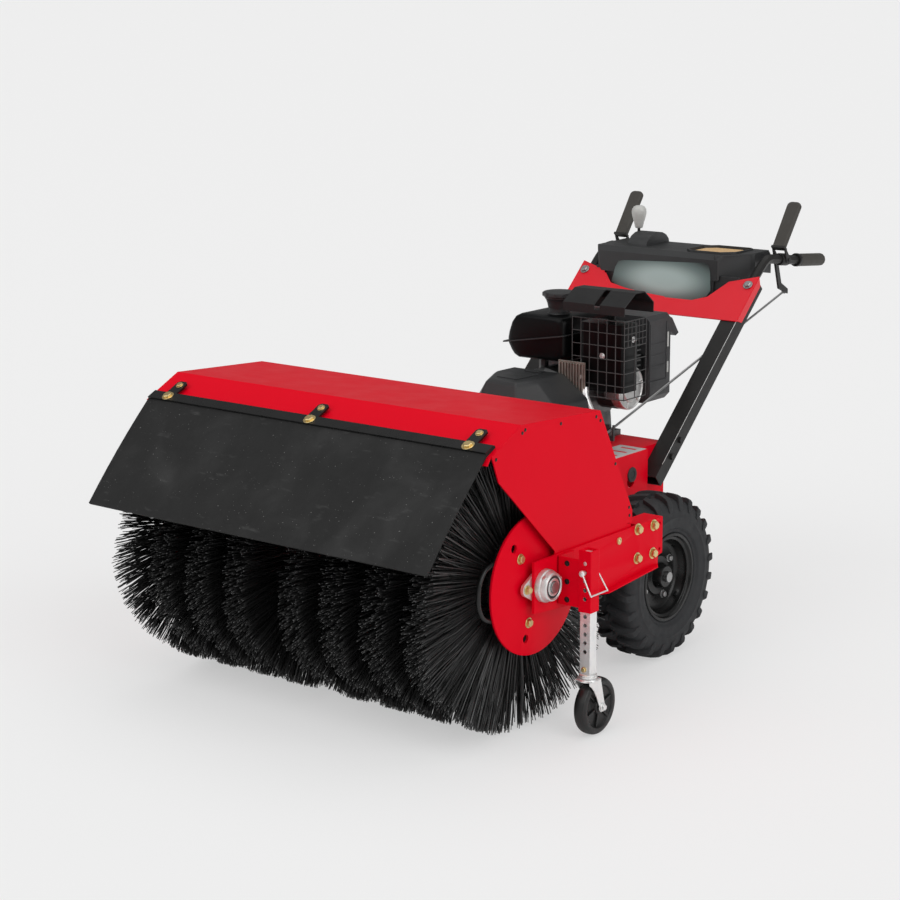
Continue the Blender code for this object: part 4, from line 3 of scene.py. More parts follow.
import json
import random
from math import cos, pi, radians, sin, tan

import bmesh
import bpy
from mathutils import Matrix, Vector, noise

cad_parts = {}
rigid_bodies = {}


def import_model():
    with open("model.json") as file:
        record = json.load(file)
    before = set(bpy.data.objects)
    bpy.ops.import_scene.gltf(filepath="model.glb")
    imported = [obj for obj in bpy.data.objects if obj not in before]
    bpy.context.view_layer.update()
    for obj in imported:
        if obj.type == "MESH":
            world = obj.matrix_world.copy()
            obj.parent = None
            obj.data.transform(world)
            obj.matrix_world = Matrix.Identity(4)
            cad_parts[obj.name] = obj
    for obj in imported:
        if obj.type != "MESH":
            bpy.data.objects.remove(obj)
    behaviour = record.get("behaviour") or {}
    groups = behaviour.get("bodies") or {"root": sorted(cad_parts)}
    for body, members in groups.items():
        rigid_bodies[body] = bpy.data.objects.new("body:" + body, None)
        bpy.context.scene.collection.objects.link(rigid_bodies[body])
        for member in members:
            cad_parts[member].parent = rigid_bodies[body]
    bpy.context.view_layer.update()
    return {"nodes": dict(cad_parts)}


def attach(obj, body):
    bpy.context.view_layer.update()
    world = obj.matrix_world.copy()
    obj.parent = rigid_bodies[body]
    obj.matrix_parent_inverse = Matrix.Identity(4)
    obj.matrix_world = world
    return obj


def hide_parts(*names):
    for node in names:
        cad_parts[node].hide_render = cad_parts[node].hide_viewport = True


for old in list(bpy.data.objects):
    bpy.data.objects.remove(old, do_unlink=True)

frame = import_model()
nodes = frame["nodes"]

# Lengths measured in the photo are in the machine's frame, with Y = 0 on the brush axis.
SHIFT = 0.6301725
AXIS_Z = 0.34
SIDES = (("left", 1), ("right", -1))
CASTER_X, CASTER_Y = 0.578, 0.061
CASTER_AXLE_Y, CASTER_AXLE_Z = 0.0875, 0.0635
PIN_Z, HOLE_STEP, HOLE_RADIUS = 0.369, 0.0195, 0.0046
WHEEL_X, WHEEL_Y, WHEEL_Z = 0.3695, 0.63, 0.198836
LUGS_IN_ROW = 24
COVER_Y, COVER_Z = 0.8575, 0.592
CAP_X, CAP_Y = 0.002, 0.76
SHIFT_X, SHIFT_Y, SHIFT_PIVOT_Z = -0.16, 1.361, 0.855
LEVER_X = 0.2498
STRAP_BOLTS_X = (-0.435, 0, 0.435)
BRISTLES_IN_WAFER = 2700
WAFER_FIRST_X, WAFER_STEP = 0.082, 0.1143
BRISTLE_CORE, BRISTLE_TIP, BRISTLE_END_X = 0.112, 0.336, 0.469


def at(x, y, z):
    """A point given in the machine's frame."""
    return Vector((x, y - SHIFT, z))


# Camera


def make_camera():
    """The camera fitted to the photo."""
    azimuth = radians(38.3122)
    pitch = radians(12.608)
    roll = radians(-0.2597)
    forward = Vector((-sin(azimuth) * cos(pitch), cos(azimuth) * cos(pitch), -sin(pitch)))
    level = Vector((cos(azimuth), sin(azimuth), 0))
    upright = level.cross(forward)
    right = level * cos(roll) + upright * sin(roll)
    up = upright * cos(roll) - level * sin(roll)
    matrix = Matrix((right, up, -forward)).transposed().to_4x4()
    matrix.translation = Vector((3.04399, -4.16295, 1.60637))
    data = bpy.data.cameras.new("camera")
    focal_pixels, picture_pixels, sensor = 2131.68, 900, 36
    data.lens = focal_pixels / picture_pixels * sensor
    data.sensor_width = sensor
    data.clip_end = 500
    camera = bpy.data.objects.new("camera", data)
    camera.matrix_world = matrix
    bpy.context.scene.collection.objects.link(camera)
    bpy.context.scene.camera = camera


# Mesh tools


def spokes(turn):
    """Unit vectors outward and around at an angle about the X axis."""
    return Vector((0, cos(turn), sin(turn))), Vector((0, -sin(turn), cos(turn)))


def spread_points(origin, one, two, pairs):
    """Points at steps along two vectors from an origin."""
    return [origin + one * a + two * b for a, b in pairs]


def finish_mesh(bm, name, smooth=40):
    """Turn a bmesh into an object, with edges sharper than an angle kept sharp."""
    bmesh.ops.recalc_face_normals(bm, faces=bm.faces)
    mesh = bpy.data.meshes.new(name)
    bm.to_mesh(mesh)
    bm.free()
    mesh.shade_smooth()
    mesh.set_sharp_from_angle(angle=radians(smooth))
    obj = bpy.data.objects.new(name, mesh)
    bpy.context.scene.collection.objects.link(obj)
    return obj


def side_frame(direction):
    """Two unit vectors square to a direction."""
    direction = direction.normalized()
    helper = Vector((0, 0, 1)) if abs(direction.z) < 0.9 else Vector((0, 1, 0))
    first = direction.cross(helper).normalized()
    return first, direction.cross(first)


def join_rings(bm, rings):
    """Add the walls between rings of equal count, and both ends."""
    for one, two in zip(rings, rings[1:]):
        for i in range(len(one)):
            j = (i + 1) % len(one)
            bm.faces.new((one[i], one[j], two[j], two[i]))
    bm.faces.new(rings[0])
    bm.faces.new(rings[-1])


def add_prism(bm, corners, depth):
    """Add the prism between an outline and its copy moved by depth."""
    low = [bm.verts.new(corner) for corner in corners]
    high = [bm.verts.new(corner + depth) for corner in corners]
    bm.faces.new(low)
    bm.faces.new(list(reversed(high)))
    for i in range(len(low)):
        j = (i + 1) % len(low)
        bm.faces.new((low[i], low[j], high[j], high[i]))


def add_revolve(bm, profile, segments, origin, direction, turn=0):
    """Add the body of (distance, radius) points turned about an axis; radius 0 ends it."""
    origin = Vector(origin)
    direction = Vector(direction).normalized()
    first, second = side_frame(direction)
    rings = []
    for distance, radius in profile:
        centre = origin + direction * distance
        if radius == 0.0:
            rings.append([bm.verts.new(centre)])
            continue
        ring = []
        for i in range(segments):
            angle = turn + 2 * pi * i / segments
            ring.append(bm.verts.new(centre + (first * cos(angle) + second * sin(angle)) * radius))
        rings.append(ring)
    pairs = list(zip(rings, rings[1:]))
    if profile[0][1] and profile[-1][1]:
        pairs.append((rings[-1], rings[0]))
    for one, two in pairs:
        for i in range(segments):
            j = (i + 1) % segments
            if len(one) == 1:
                bm.faces.new((one[0], two[i], two[j]))
            elif len(two) == 1:
                bm.faces.new((one[i], one[j], two[0]))
            else:
                bm.faces.new((one[i], one[j], two[j], two[i]))


def turned(profile, segments, origin, direction):
    """A new mesh with one body turned about an axis."""
    bm = bmesh.new()
    add_revolve(bm, profile, segments, origin, direction)
    return bm


def add_sweep(bm, path, radius, sides):
    """Add a round bar along a path."""
    points = [Vector(point) for point in path]
    radii = radius if isinstance(radius, list) else [radius] * len(points)
    rings = []
    first = None
    for i, point in enumerate(points):
        along = (points[min(i + 1, len(points) - 1)] - points[max(i - 1, 0)]).normalized()
        if first is None:
            first = side_frame(along)[0]
        first = (first - along * first.dot(along)).normalized()
        second = along.cross(first)
        ring = []
        for k in range(sides):
            angle = 2 * pi * k / sides
            ring.append(bm.verts.new(point + (first * cos(angle) + second * sin(angle)) * radii[i]))
        rings.append(ring)
    join_rings(bm, rings)


def smooth_path(points, steps):
    """A rounded path through points, with a count of steps from each to the next."""
    points = [Vector(point) for point in points]
    path = []
    ends = [points[0] * 2 - points[1]] + points + [points[-1] * 2 - points[-2]]
    for a, b, c, d in zip(ends, ends[1:], ends[2:], ends[3:]):
        for i in range(steps):
            t = i / steps
            path.append(0.5 * (2 * b + (c - a) * t + (2 * a - 5 * b + 4 * c - d) * t ** 2
                               + (3 * b - a - 3 * c + d) * t ** 3))
    path.append(points[-1])
    return path


def bevel(obj, width, segments=2, angle=30):
    """Round an object's sharp edges."""
    modifier = obj.modifiers.new("Bevel", "BEVEL")
    modifier.width = width
    modifier.segments = segments
    modifier.limit_method = "ANGLE"
    modifier.angle_limit = radians(angle)
    modifier.harden_normals = True


def cut_out(obj, cutters):
    """Cut pieces out of an object and drop them."""
    for cutter in cutters:
        modifier = obj.modifiers.new("Boolean", "BOOLEAN")
        modifier.operation = "DIFFERENCE"
        modifier.solver = "EXACT"
        modifier.object = cutter
    bpy.context.view_layer.update()
    graph = bpy.context.evaluated_depsgraph_get()
    mesh = bpy.data.meshes.new_from_object(obj.evaluated_get(graph))
    obj.modifiers.clear()
    obj.data = mesh
    obj.data.shade_smooth()
    obj.data.set_sharp_from_angle(angle=radians(35))
    for cutter in cutters:
        bpy.data.objects.remove(cutter, do_unlink=True)


def drill(places, radius, axis, reach):
    """One cutter with a round bar through each place."""
    bm = bmesh.new()
    for spot in places:
        add_revolve(bm, [(-reach, 0), (-reach, radius), (reach, radius), (reach, 0)], 28, spot, axis)
    return finish_mesh(bm, "cutter")


def copy_node(node_name, name):
    """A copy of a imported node's mesh, with its flat facets joined."""
    bm = bmesh.new()
    bm.from_mesh(nodes[node_name].data)
    bmesh.ops.remove_doubles(bm, verts=bm.verts, dist=0.00002)
    bmesh.ops.dissolve_limit(bm, angle_limit=radians(0.5), verts=bm.verts, edges=bm.edges)
    return finish_mesh(bm, name, 30)


def add_block(bm, one, two):
    """Add a box between two corners in the machine's frame."""
    low = at(*map(min, one, two))
    high = at(*map(max, one, two))
    corners = [Vector((x, y, low.z)) for x,
               y in ((low.x, low.y), (high.x, low.y), (high.x, high.y), (low.x, high.y))]
    add_prism(bm, corners, Vector((0, 0, high.z - low.z)))


def block_cutter(one, two):
    """A box to cut out of something."""
    bm = bmesh.new()
    add_block(bm, one, two)
    return finish_mesh(bm, "cutter")


def add_slab(bm, outline, z, depth):
    """Add a level slab with an outline of (x, y)."""
    add_prism(bm, [at(x, y, z) for x, y in outline], Vector((0, 0, depth)))


def add_sheet(bm, outline, y, depth):
    """Add an upright sheet across the machine with an outline of (x, z)."""
    add_prism(bm, [at(x, y, z) for x, z in outline], Vector((0, depth, 0)))


def add_bolt(bm, spot, axis, radius, height, washer):
    """Add a hexagon head with a chamfered top on a round washer."""
    thick = 0.16 * radius
    wide = washer * radius
    add_revolve(bm, [(0, 0), (0, wide * 0.97), (thick * 0.5, wide), (thick, wide * 0.95), (thick, 0)],
                28, spot, axis)
    add_revolve(bm, [(thick, 0), (thick, radius), (height * 0.8, radius), (height, radius * 0.84),
                     (height, 0)], 6, spot, axis, turn=0.3)


def add_dome(bm, spot, axis, radius, height):
    """Add a round rivet head."""
    profile = [(-0.0005, 0), (-0.0005, radius)]
    for i in range(1, 5):
        angle = pi / 8 * i
        profile.append((height * sin(angle), radius * cos(angle) if i < 4 else 0))
    add_revolve(bm, profile, 20, spot, axis)


def show(bm, name, body, material, node=None, smooth=40, rounding=None):
    """Finish a bmesh as a piece; the rounding is a width, a count of segments and an angle."""
    obj = finish_mesh(bm, name, smooth)
    if rounding:
        bevel(obj, *rounding)
    place(obj, body, material, node)


def bolts(name, body, material, spots, radius, height, washer):
    """One piece of equal bolts; each spot is a place and the way it faces."""
    bm = bmesh.new()
    for spot, axis in spots:
        add_bolt(bm, spot, axis, radius, height, washer)
    show(bm, name, body, material, rounding=(radius * 0.05, 2))


def place(obj, body, material, node=None):
    """Hang a finished piece on its body, with its material, for a node if one is named."""
    if node:
        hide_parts(node)
    obj.data.materials.clear()
    obj.data.materials.append(material)
    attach(obj, body)


# Materials


def fill(node, numbered=(), **named):
    """Set a node's inputs, or link them to other nodes' outputs; _ stands for a space in a name."""
    values = [(name.replace("_", " "), value) for name, value in named.items()] + list(numbered)
    for key, value in values:
        socket = node.inputs[key]
        if isinstance(value, bpy.types.NodeSocket):
            node.id_data.links.new(value, socket)
        elif value is not None:
            socket.default_value = value
    return node


class Builder:
    """Adds shader nodes to one material."""

    def __init__(self, name, colour, roughness, metallic=0, specular=0.5):
        self.material = bpy.data.materials.new(name)
        self.material.use_nodes = True
        self.nodes = self.material.node_tree.nodes
        self.colour = (*colour, 1)
        self.rough = self.height = None
        self.shader = fill(self.nodes["Principled BSDF"], Base_Color=self.colour, Roughness=roughness,
                           Metallic=metallic, Coat_Roughness=0.08, Specular_IOR_Level=specular)
        self.coords = self.nodes.new("ShaderNodeTexCoord").outputs["Object"]

    def node(self, kind, settings=(), **inputs):
        node = self.nodes.new("ShaderNode" + kind)
        for key, value in settings:
            setattr(node, key, value)
        return fill(node, **inputs)

    def noise(self, scale, detail, stretch=None, distortion=0):
        coords = self.coords
        if stretch:
            coords = self.node("Mapping", Vector=coords, Scale=stretch).outputs["Vector"]
        return self.node("TexNoise", Vector=coords, Scale=scale, Detail=detail,
                         Distortion=distortion).outputs["Fac"]

    def cells(self, scale):
        return self.node("TexVoronoi", Vector=self.coords, Scale=scale).outputs["Distance"]

    def axis(self, name):
        return self.node("SeparateXYZ", Vector=self.coords).outputs[name]

    def remap(self, value, low, high, to_low, to_high):
        return self.node("MapRange", [("interpolation_type", "SMOOTHSTEP")], Value=value, From_Min=low,
                         From_Max=high, To_Min=to_low, To_Max=to_high).outputs["Result"]

    def maths(self, operation, one, two=None):
        node = self.node("Math", [("operation", operation)])
        return fill(node, enumerate((one, two))).outputs[0]

    def reach(self, one, two):
        """The root of the sum of two squares."""
        squares = [self.maths("MULTIPLY", value, value) for value in (one, two)]
        return self.maths("SQRT", self.maths("ADD", *squares))

    def tint(self, mask, colour):
        """Mix another colour in where the mask is 1."""
        node = self.node("Mix", [("data_type", "RGBA")])
        self.colour = fill(node, [(0, mask), (6, self.colour), (7, (*colour, 1))]).outputs[2]

    def roughen(self, mask, low, high):
        """Let the roughness run between two values with a mask."""
        self.rough = self.remap(mask, 0, 1, low, high)

    def bump(self, height, distance):
        """Add relief of a real depth in metres."""
        node = self.node("Bump", Distance=distance, Height=height, Normal=self.height)
        self.height = node.outputs["Normal"]

    def done(self):
        fill(self.shader, Base_Color=self.colour, Roughness=self.rough, Normal=self.height)
        return self.material


def coat(name, colour, roughness, tints, rough, reliefs, **values):
    """A material from tints (pattern, low, high, share, colour), one roughness range and reliefs.

    A pattern is the scale, detail, stretch and distortion of a noise, or the scale of a cell pattern.
    """
    b = Builder(name, colour, roughness, **values)

    def pattern(kind):
        return b.noise(*kind) if isinstance(kind, tuple) else b.cells(kind)

    for kind, low, high, share, tinted in tints:
        b.tint(b.remap(pattern(kind), low, high, 0, share), tinted)
    b.roughen(pattern(rough[0]), *rough[1:])
    for kind, depth in reliefs:
        b.bump(pattern(kind), depth)
    return b.done()


def red_paint(name, specular):
    """Gloss powder coat with a fine orange peel and faint dust."""
    return coat(
        name, (0.72, 0.001, 0.014), 0.32,
        [((5, 4), 0.35, 0.75, 0.1, (0.54, 0.001, 0.01)), ((900, 2), 0.7, 0.78, 0.1, (0.75, 0.1, 0.1))],
        ((18, 5), 0.26, 0.4), [((420, 2), 0.00003)], specular=specular)


def satin_paint(name, colour, dust):
    """Satin black powder coat with a faint dust."""
    return coat(name, colour, 0.44, [((12, 4), 0.4, 0.8, 0.5, dust)], ((40, 4), 0.34, 0.52),
                [((900, 2), 0.00005)], specular=0.28)


def soft_rubber(name, colour):
    """Foam rubber with fine pores."""
    return coat(name, colour, 0.62, [((20, 4), 0.4, 0.8, 0.5, (0.06, 0.057, 0.052))],
                ((50, 3), 0.52, 0.74), [(1500, 0.00008)], specular=0.4)


def plated(name, colour, tint, low, high, metallic=1):
    """Plated steel with a soft spangle."""
    return coat(name, colour, 0.3, [((70, 4), 0.4, 0.75, 0.6, tint)],
                ((120, 4, (1, 1, 0.2)), low, high), [((700, 3), 0.00003)], metallic=metallic)


def cast_metal(name, colour):
    """Sand-cast aluminium."""
    return coat(name, colour, 0.45, [((40, 5), 0.45, 0.8, 0.7, tuple(0.55 * c for c in colour))],
                ((90, 4), 0.36, 0.6), [((900, 4), 0.00018)], metallic=1)


def bristle():
    """Black polypropylene bristle with painted light: paler towards the outer ends where light falls, palest
    at the cut tips, dark further in among the bristles.
    """
    b = Builder("bristle_black", (0.013, 0.013, 0.013), 0.36, specular=0.6)
    y = b.maths("ADD", b.axis("Y"), SHIFT)
    z = b.maths("SUBTRACT", b.axis("Z"), AXIS_Z)
    radius = b.reach(y, z)
    # Painted light: by distance from the brush axis the outer ends of the bristles are painted paler as if
    # lit, and the cut tips palest.
    b.tint(b.remap(radius, 0.318, 0.334, 0, 0.7), (0.05, 0.05, 0.05))
    b.tint(b.remap(radius, 0.3325, 0.3345, 0, 0.8), (0.16, 0.16, 0.16))
    b.tint(b.remap(b.noise(90, 3), 0.55, 0.8, 0, 0.5), (0.032, 0.031, 0.03))
    b.roughen(b.noise(200, 3), 0.28, 0.5)
    return b.done()


def panel_face():
    """The console panel: a pale green-grey glow fading to black at its edges."""
    b = Builder("panel_face", (0.44, 0.53, 0.51), 0.36, specular=0.4)
    x = b.maths("MULTIPLY", b.maths("ADD", b.axis("X"), 0.005), 6.0)
    z = b.maths("MULTIPLY", b.maths("SUBTRACT", b.axis("Z"), 0.808), 17.0)
    spread = b.reach(x, z)
    b.tint(b.remap(spread, 0.3, 0.95, 0, 0.85), (0.075, 0.115, 0.11))
    b.tint(b.remap(spread, 0.85, 1.25, 0, 1), (0.012, 0.014, 0.014))
    b.roughen(b.noise(60, 3), 0.3, 0.44)
    b.bump(b.noise(1500, 2), 0.00002)
    return b.done()


# Bristles


def full_wafer(which, centre_x):
    """One wavy wafer with all its bristles, in place of the coarse one."""
    name = "bristles_" + which
    rng = random.Random(name)
    verts = []
    faces = []
    for i in range(BRISTLES_IN_WAFER):
        across = rng.uniform(-1, 1)
        angle = 2 * pi * (i + rng.random()) / BRISTLES_IN_WAFER
        lean = 0.02 * sin(5 * angle + 0.6 * sin(3 * angle))
        tip_x = centre_x + across * 0.034 + lean + rng.gauss(0, 0.0035)
        tip_x = max(-BRISTLE_END_X, min(BRISTLE_END_X, tip_x))
        root_x = centre_x + across * 0.02
        swing = rng.gauss(0, 0.022)
        length = BRISTLE_TIP - abs(rng.gauss(0, 0.005))
        bow = rng.gauss(0, 0.0035)
        bow_x = rng.gauss(0, 0.003)
        stations = []
        for t in (0, 0.55, 1):
            radius = BRISTLE_CORE + (length - BRISTLE_CORE) * t
            curve = 4 * t * (1 - t)
            turn = angle + swing * t * t
            x = root_x + (tip_x - root_x) * (0.6 * t + 0.4 * t * t) + bow_x * curve
            side = bow * curve
            y = radius * cos(turn) - side * sin(turn)
            z = radius * sin(turn) + side * cos(turn)
            stations.append(Vector((x, y - SHIFT, z + AXIS_Z)))
        around = spokes(angle)[1]
        size = 0.00105
        spin = rng.uniform(0, 2.1)
        start = len(verts)
        for point in stations:
            for k in range(3):
                a = spin + k * 2.0944
                verts.append(point + Vector((cos(a) * size, 0, 0)) + around * sin(a) * size)
        for level in (0, 3):
            for k in range(3):
                j = (k + 1) % 3
                faces.append((start + level + k, start + level + j, start + level + 3 + j,
                              start + level + 3 + k))
        faces.append((start + 8, start + 7, start + 6))
        faces.append((start, start + 1, start + 2))
    bm = turned([(-0.024, 0.1006), (-0.024, 0.116), (0.024, 0.116), (0.024, 0.1006)], 48,
                at(centre_x, 0, AXIS_Z), (1, 0, 0))
    bm.verts.index_update()
    offset = len(verts)
    verts += [vert.co.copy() for vert in bm.verts]
    faces += [tuple(offset + vert.index for vert in face.verts) for face in bm.faces]
    bm.free()
    mesh = bpy.data.meshes.new(name)
    mesh.from_pydata([tuple(v) for v in verts], [], faces)
    mesh.update()
    obj = bpy.data.objects.new(name, mesh)
    bpy.context.scene.collection.objects.link(obj)
    place(obj, "brush", BRISTLE, "wafer_" + which)


# Flap


def full_flap():
    """The rubber flap with a slight wave along its free edge."""
    bm = bmesh.new()
    bm.from_mesh(nodes["rubber_flap"].data)
    bmesh.ops.remove_doubles(bm, verts=bm.verts, dist=0.00005)
    for i in range(-11, 12):
        geometry = list(bm.verts) + list(bm.edges) + list(bm.faces)
        bmesh.ops.bisect_plane(bm, geom=geometry, plane_co=(i * 0.0407, 0, 0), plane_no=(1, 0, 0))
    for vert in bm.verts:
        drop = max(0, 0.64 - vert.co.z) / 0.2
        wave = 0.5 + 0.5 * noise.noise(Vector((vert.co.x * 2.6, 3.1, 0.4)))
        vert.co.y += 0.005 * drop * drop * wave
    obj = finish_mesh(bm, "flap_sheet", 25)
    bevel(obj, 0.0012, 2, 40)
    place(obj, "broom_head", FLAP, "rubber_flap")


# Broom head


def end_disc(hand, side):
    """The end disc with round holes, its gold bolts and its glossy hoops."""
    profile = [
        (0.4552, 0.0128), (0.4552, 0.0295), (0.4557, 0.03), (0.4765, 0.03), (0.477, 0.031), (0.477, 0.155),
        (0.4774, 0.1558), (0.478, 0.156), (0.4818, 0.156), (0.4826, 0.1558), (0.483, 0.155), (0.483, 0.0128)]
    bm = turned(profile, 128, at(0, 0, AXIS_Z), (side, 0, 0))
    disc = finish_mesh(bm, "disc_" + hand)
    spots = []
    holes = []
    for turn in (radians(130), radians(-107)):
        hole, spot = [at(side * 0.483, radius * cos(turn), AXIS_Z + radius * sin(turn))
                      for radius in (0.12, 0.085)]
        holes.append(hole)
        spots.append((spot, (side, 0, 0)))
    cut_out(disc, [drill(holes, 0.0095, (1, 0, 0), 0.02)])
    place(disc, "brush", RED, "end_disc_" + hand)
    bolts("disc_bolts_" + hand, "brush", GOLD, spots, 0.0088, 0.0075, 1.35)
    bm = bmesh.new()
    for turn in (radians(176), radians(-4)):
        outward, across = spokes(turn)
        corners = [(0.062, 0.108), (0.061, 0.14), (0.05, 0.168), (0.026, 0.184), (0, 0.187), (-0.026, 0.184),
                   (-0.05, 0.168), (-0.061, 0.14), (-0.062, 0.108)]
        add_sweep(bm, smooth_path(spread_points(at(side * 0.473, 0, AXIS_Z), across, outward, corners), 6),
                  0.0052, 14)
    show(bm, "hoops_" + hand, "brush", BLACK, smooth=60)


def bearing(hand, side):
    """The cast flange bearing with its seal, race, set screws and grease nipple."""
    profile = [
        (0.493, 0.013), (0.493, 0.036), (0.515, 0.036), (0.517, 0.0352), (0.5185, 0.0336), (0.5285, 0.0312),
        (0.531, 0.03), (0.5321, 0.0284), (0.5321, 0.0262), (0.53, 0.025), (0.5293, 0.024), (0.53, 0.0196),
        (0.5312, 0.019), (0.5318, 0.018), (0.5318, 0.014), (0.5308, 0.013)]
    bm = turned(profile, 72, at(0, 0, AXIS_Z), (side, 0, 0))
    outline = []
    for centre, size, first, last in ((0.052, 0.015, -62, 62), (0, 0.04, 62, 118),
                                      (-0.052, 0.015, 118, 242), (0, 0.04, 242, 298)):
        for i in range(9):
            turn = radians(first + (last - first) * i / 8)
            outline.append(at(side * 0.4921, centre + size * cos(turn), AXIS_Z + size * sin(turn)))
    add_prism(bm, outline, Vector((side * 0.0078, 0, 0)))
    for turn in (radians(135), radians(20)):
        spot = at(side * 0.5235, 0.032 * cos(turn), AXIS_Z + 0.032 * sin(turn))
        add_revolve(bm, [(-0.004, 0), (-0.004, 0.0052), (0.003, 0.0052), (0.0042, 0.0042), (0.0042, 0)],
                    18, spot, (0, cos(turn), sin(turn)))
    show(bm, "bearing_body_" + hand, "broom_head", BRIGHT_CAST, "bearing_" + hand, smooth=35,
         rounding=(0.001, 2))
    bm = turned([(0.5294, 0.0192), (0.5294, 0.0246), (0.5304, 0.024), (0.5304, 0.0198)], 64,
                at(0, 0, AXIS_Z), (side, 0, 0))
    show(bm, "bearing_seal_" + hand, "broom_head", SEAL)
    bm = bmesh.new()
    nipple = [(0.03, 0.3232, 0.0048), (0.04, 0.3202, 0.0048), (0.0405, 0.32, 0.003), (0.047, 0.3182, 0.003),
              (0.0475, 0.318, 0.004), (0.051, 0.3172, 0.004), (0.0525, 0.3168, 0.0026)]
    add_sweep(bm, [at(side * 0.5143, y, z) for y, z, _ in nipple], [radius for _, _, radius in nipple], 14)
    show(bm, "grease_nipple_" + hand, "broom_head", ZINC)
    bolts("bearing_bolts_" + hand, "broom_head", GOLD,
          [(at(side * 0.4999, -0.052, AXIS_Z), (side, 0, 0))], 0.008, 0.009, 1.3)


def arm(hand, side):
    """The arm with its gold bolts and the two small holes at its tail."""
    obj = copy_node("arm_" + hand, "arm_plate_" + hand)
    heads = block_cutter((side * 0.50635, -0.05, 0.3), (side * 0.53, 0.47, 0.41))
    cut_out(obj, [heads, drill([at(side * 0.5063, 0.448, 0.383), at(side * 0.5063, 0.448, 0.3225)], 0.0042,
                               (1, 0, 0), 0.01)])
    bevel(obj, 0.0008)
    place(obj, "broom_head", RED, "arm_" + hand)
    spots = [(at(side * 0.5063, y, z), (side, 0, 0)) for y,
             z in ((0.357, 0.388), (0.422, 0.384), (0.355, 0.321), (0.419, 0.319))]
    bolts("arm_bolts_" + hand, "broom_head", GOLD, spots, 0.01, 0.0105, 1.38)
    bm = bmesh.new()
    add_dome(bm, at(side * 0.509, 0.281, 0.377), (side, 0, 0), 0.0058, 0.003)
    add_revolve(bm, [(0, 0), (0, 0.0086), (0.003, 0.008), (0.0034, 0)], 28,
                at(side * 0.506, 0.281, 0.377), (side, 0, 0))
    show(bm, "carriage_bolt_" + hand, "broom_head", GOLD)


def rivets(hand, side):
    """The black rivets that hold the side plate to the hood."""
    bm = bmesh.new()
    for y, z in ((-0.072, 0.681), (-0.062, 0.686), (-0.162, 0.641), (0.065, 0.678), (0.197, 0.671),
                 (0.213, 0.66), (0.273, 0.553), (0.33, 0.443), (0.332, 0.424)):
        add_dome(bm, at(side * 0.5, y, z), (side, 0, 0), 0.004, 0.0016)
    show(bm, "rivets_" + hand, "broom_head", BLACK)
    bm = bmesh.new()
    add_block(bm, (side * 0.4972, 0.046, 0.38), (side * 0.4999, 0.338, 0.4052))
    show(bm, "side_lip_" + hand, "broom_head", RED)


def caster_sleeve(hand, side):
    """The square sleeve with its row of holes, on a bolted bracket."""
    x = side * CASTER_X
    bm = bmesh.new()
    add_block(bm, (x - 0.0159, 0.0451, 0.281), (x + 0.0159, 0.0769, 0.417))
    sleeve = finish_mesh(bm, "sleeve_" + hand)
    bore = block_cutter((x - 0.013, 0.048, 0.27), (x + 0.013, 0.074, 0.43))
    holes = [at(x, 0.045, PIN_Z + step * HOLE_STEP) for step in (-3, -2, -1, 0, 1)]
    cut_out(sleeve, [bore, drill(holes, HOLE_RADIUS, (0, 1, 0), 0.02),
                     drill([at(x, 0.077, PIN_Z)], HOLE_RADIUS, (0, 1, 0), 0.01)])
    bevel(sleeve, 0.0016, 3)
    place(sleeve, "broom_head", RED, "caster_bracket_" + hand)
    bm = bmesh.new()
    add_block(bm, (side * 0.5066, 0.0461, 0.289), (x - side * 0.015, 0.0501, 0.395))
    add_block(bm, (side * 0.5066, 0.0461, 0.289), (side * 0.5106, 0.106, 0.395))
    show(bm, "sleeve_bracket_" + hand, "broom_head", RED, rounding=(0.0012, 2))
    spots = [(at(side * 0.532, 0.0461, z), (0, -1, 0)) for z in (0.302, 0.342, 0.382)]
    bolts("sleeve_bolts_" + hand, "broom_head", BLACK, spots, 0.005, 0.0036, 1.3)


def caster_stem(hand, side):
    """The zinc stem with round holes, its swivel race and the gold bolt at its foot."""
    x = side * CASTER_X
    bm = bmesh.new()
    add_block(bm, (x - 0.0127, 0.0483, 0.1415), (x + 0.0127, 0.0737, 0.411))
    stem = finish_mesh(bm, "stem_" + hand)
    holes = [at(x, CASTER_Y, PIN_Z + step * HOLE_STEP) for step in (0, -1, -2, -3, -5, -6, -7, -8, -9)]
    bore = block_cutter((x - 0.0105, 0.0505, 0.148), (x + 0.0105, 0.0715, 0.404))
    cut_out(stem, [bore, drill(holes, HOLE_RADIUS, (0, 1, 0), 0.03)])
    bevel(stem, 0.0014, 3)
    place(stem, "broom_head", ZINC, "caster_stem_" + hand)
    profile = [
        (0.1338, 0), (0.1338, 0.0175), (0.1345, 0.0193), (0.1362, 0.02), (0.138, 0.0197), (0.1386, 0.0178),
        (0.1392, 0.0176), (0.1398, 0.0192), (0.1412, 0.0192), (0.1422, 0.018), (0.1422, 0)]
    show(turned(profile, 64, at(x, CASTER_Y, 0), (0, 0, 1)), "race_" + hand, "broom_head", ZINC)
    bolts("stem_bolt_" + hand, "broom_head", GOLD, [(at(x - side * 0.002, 0.0483, 0.1535), (0, -1, 0))],
          0.0056, 0.005, 1.1)


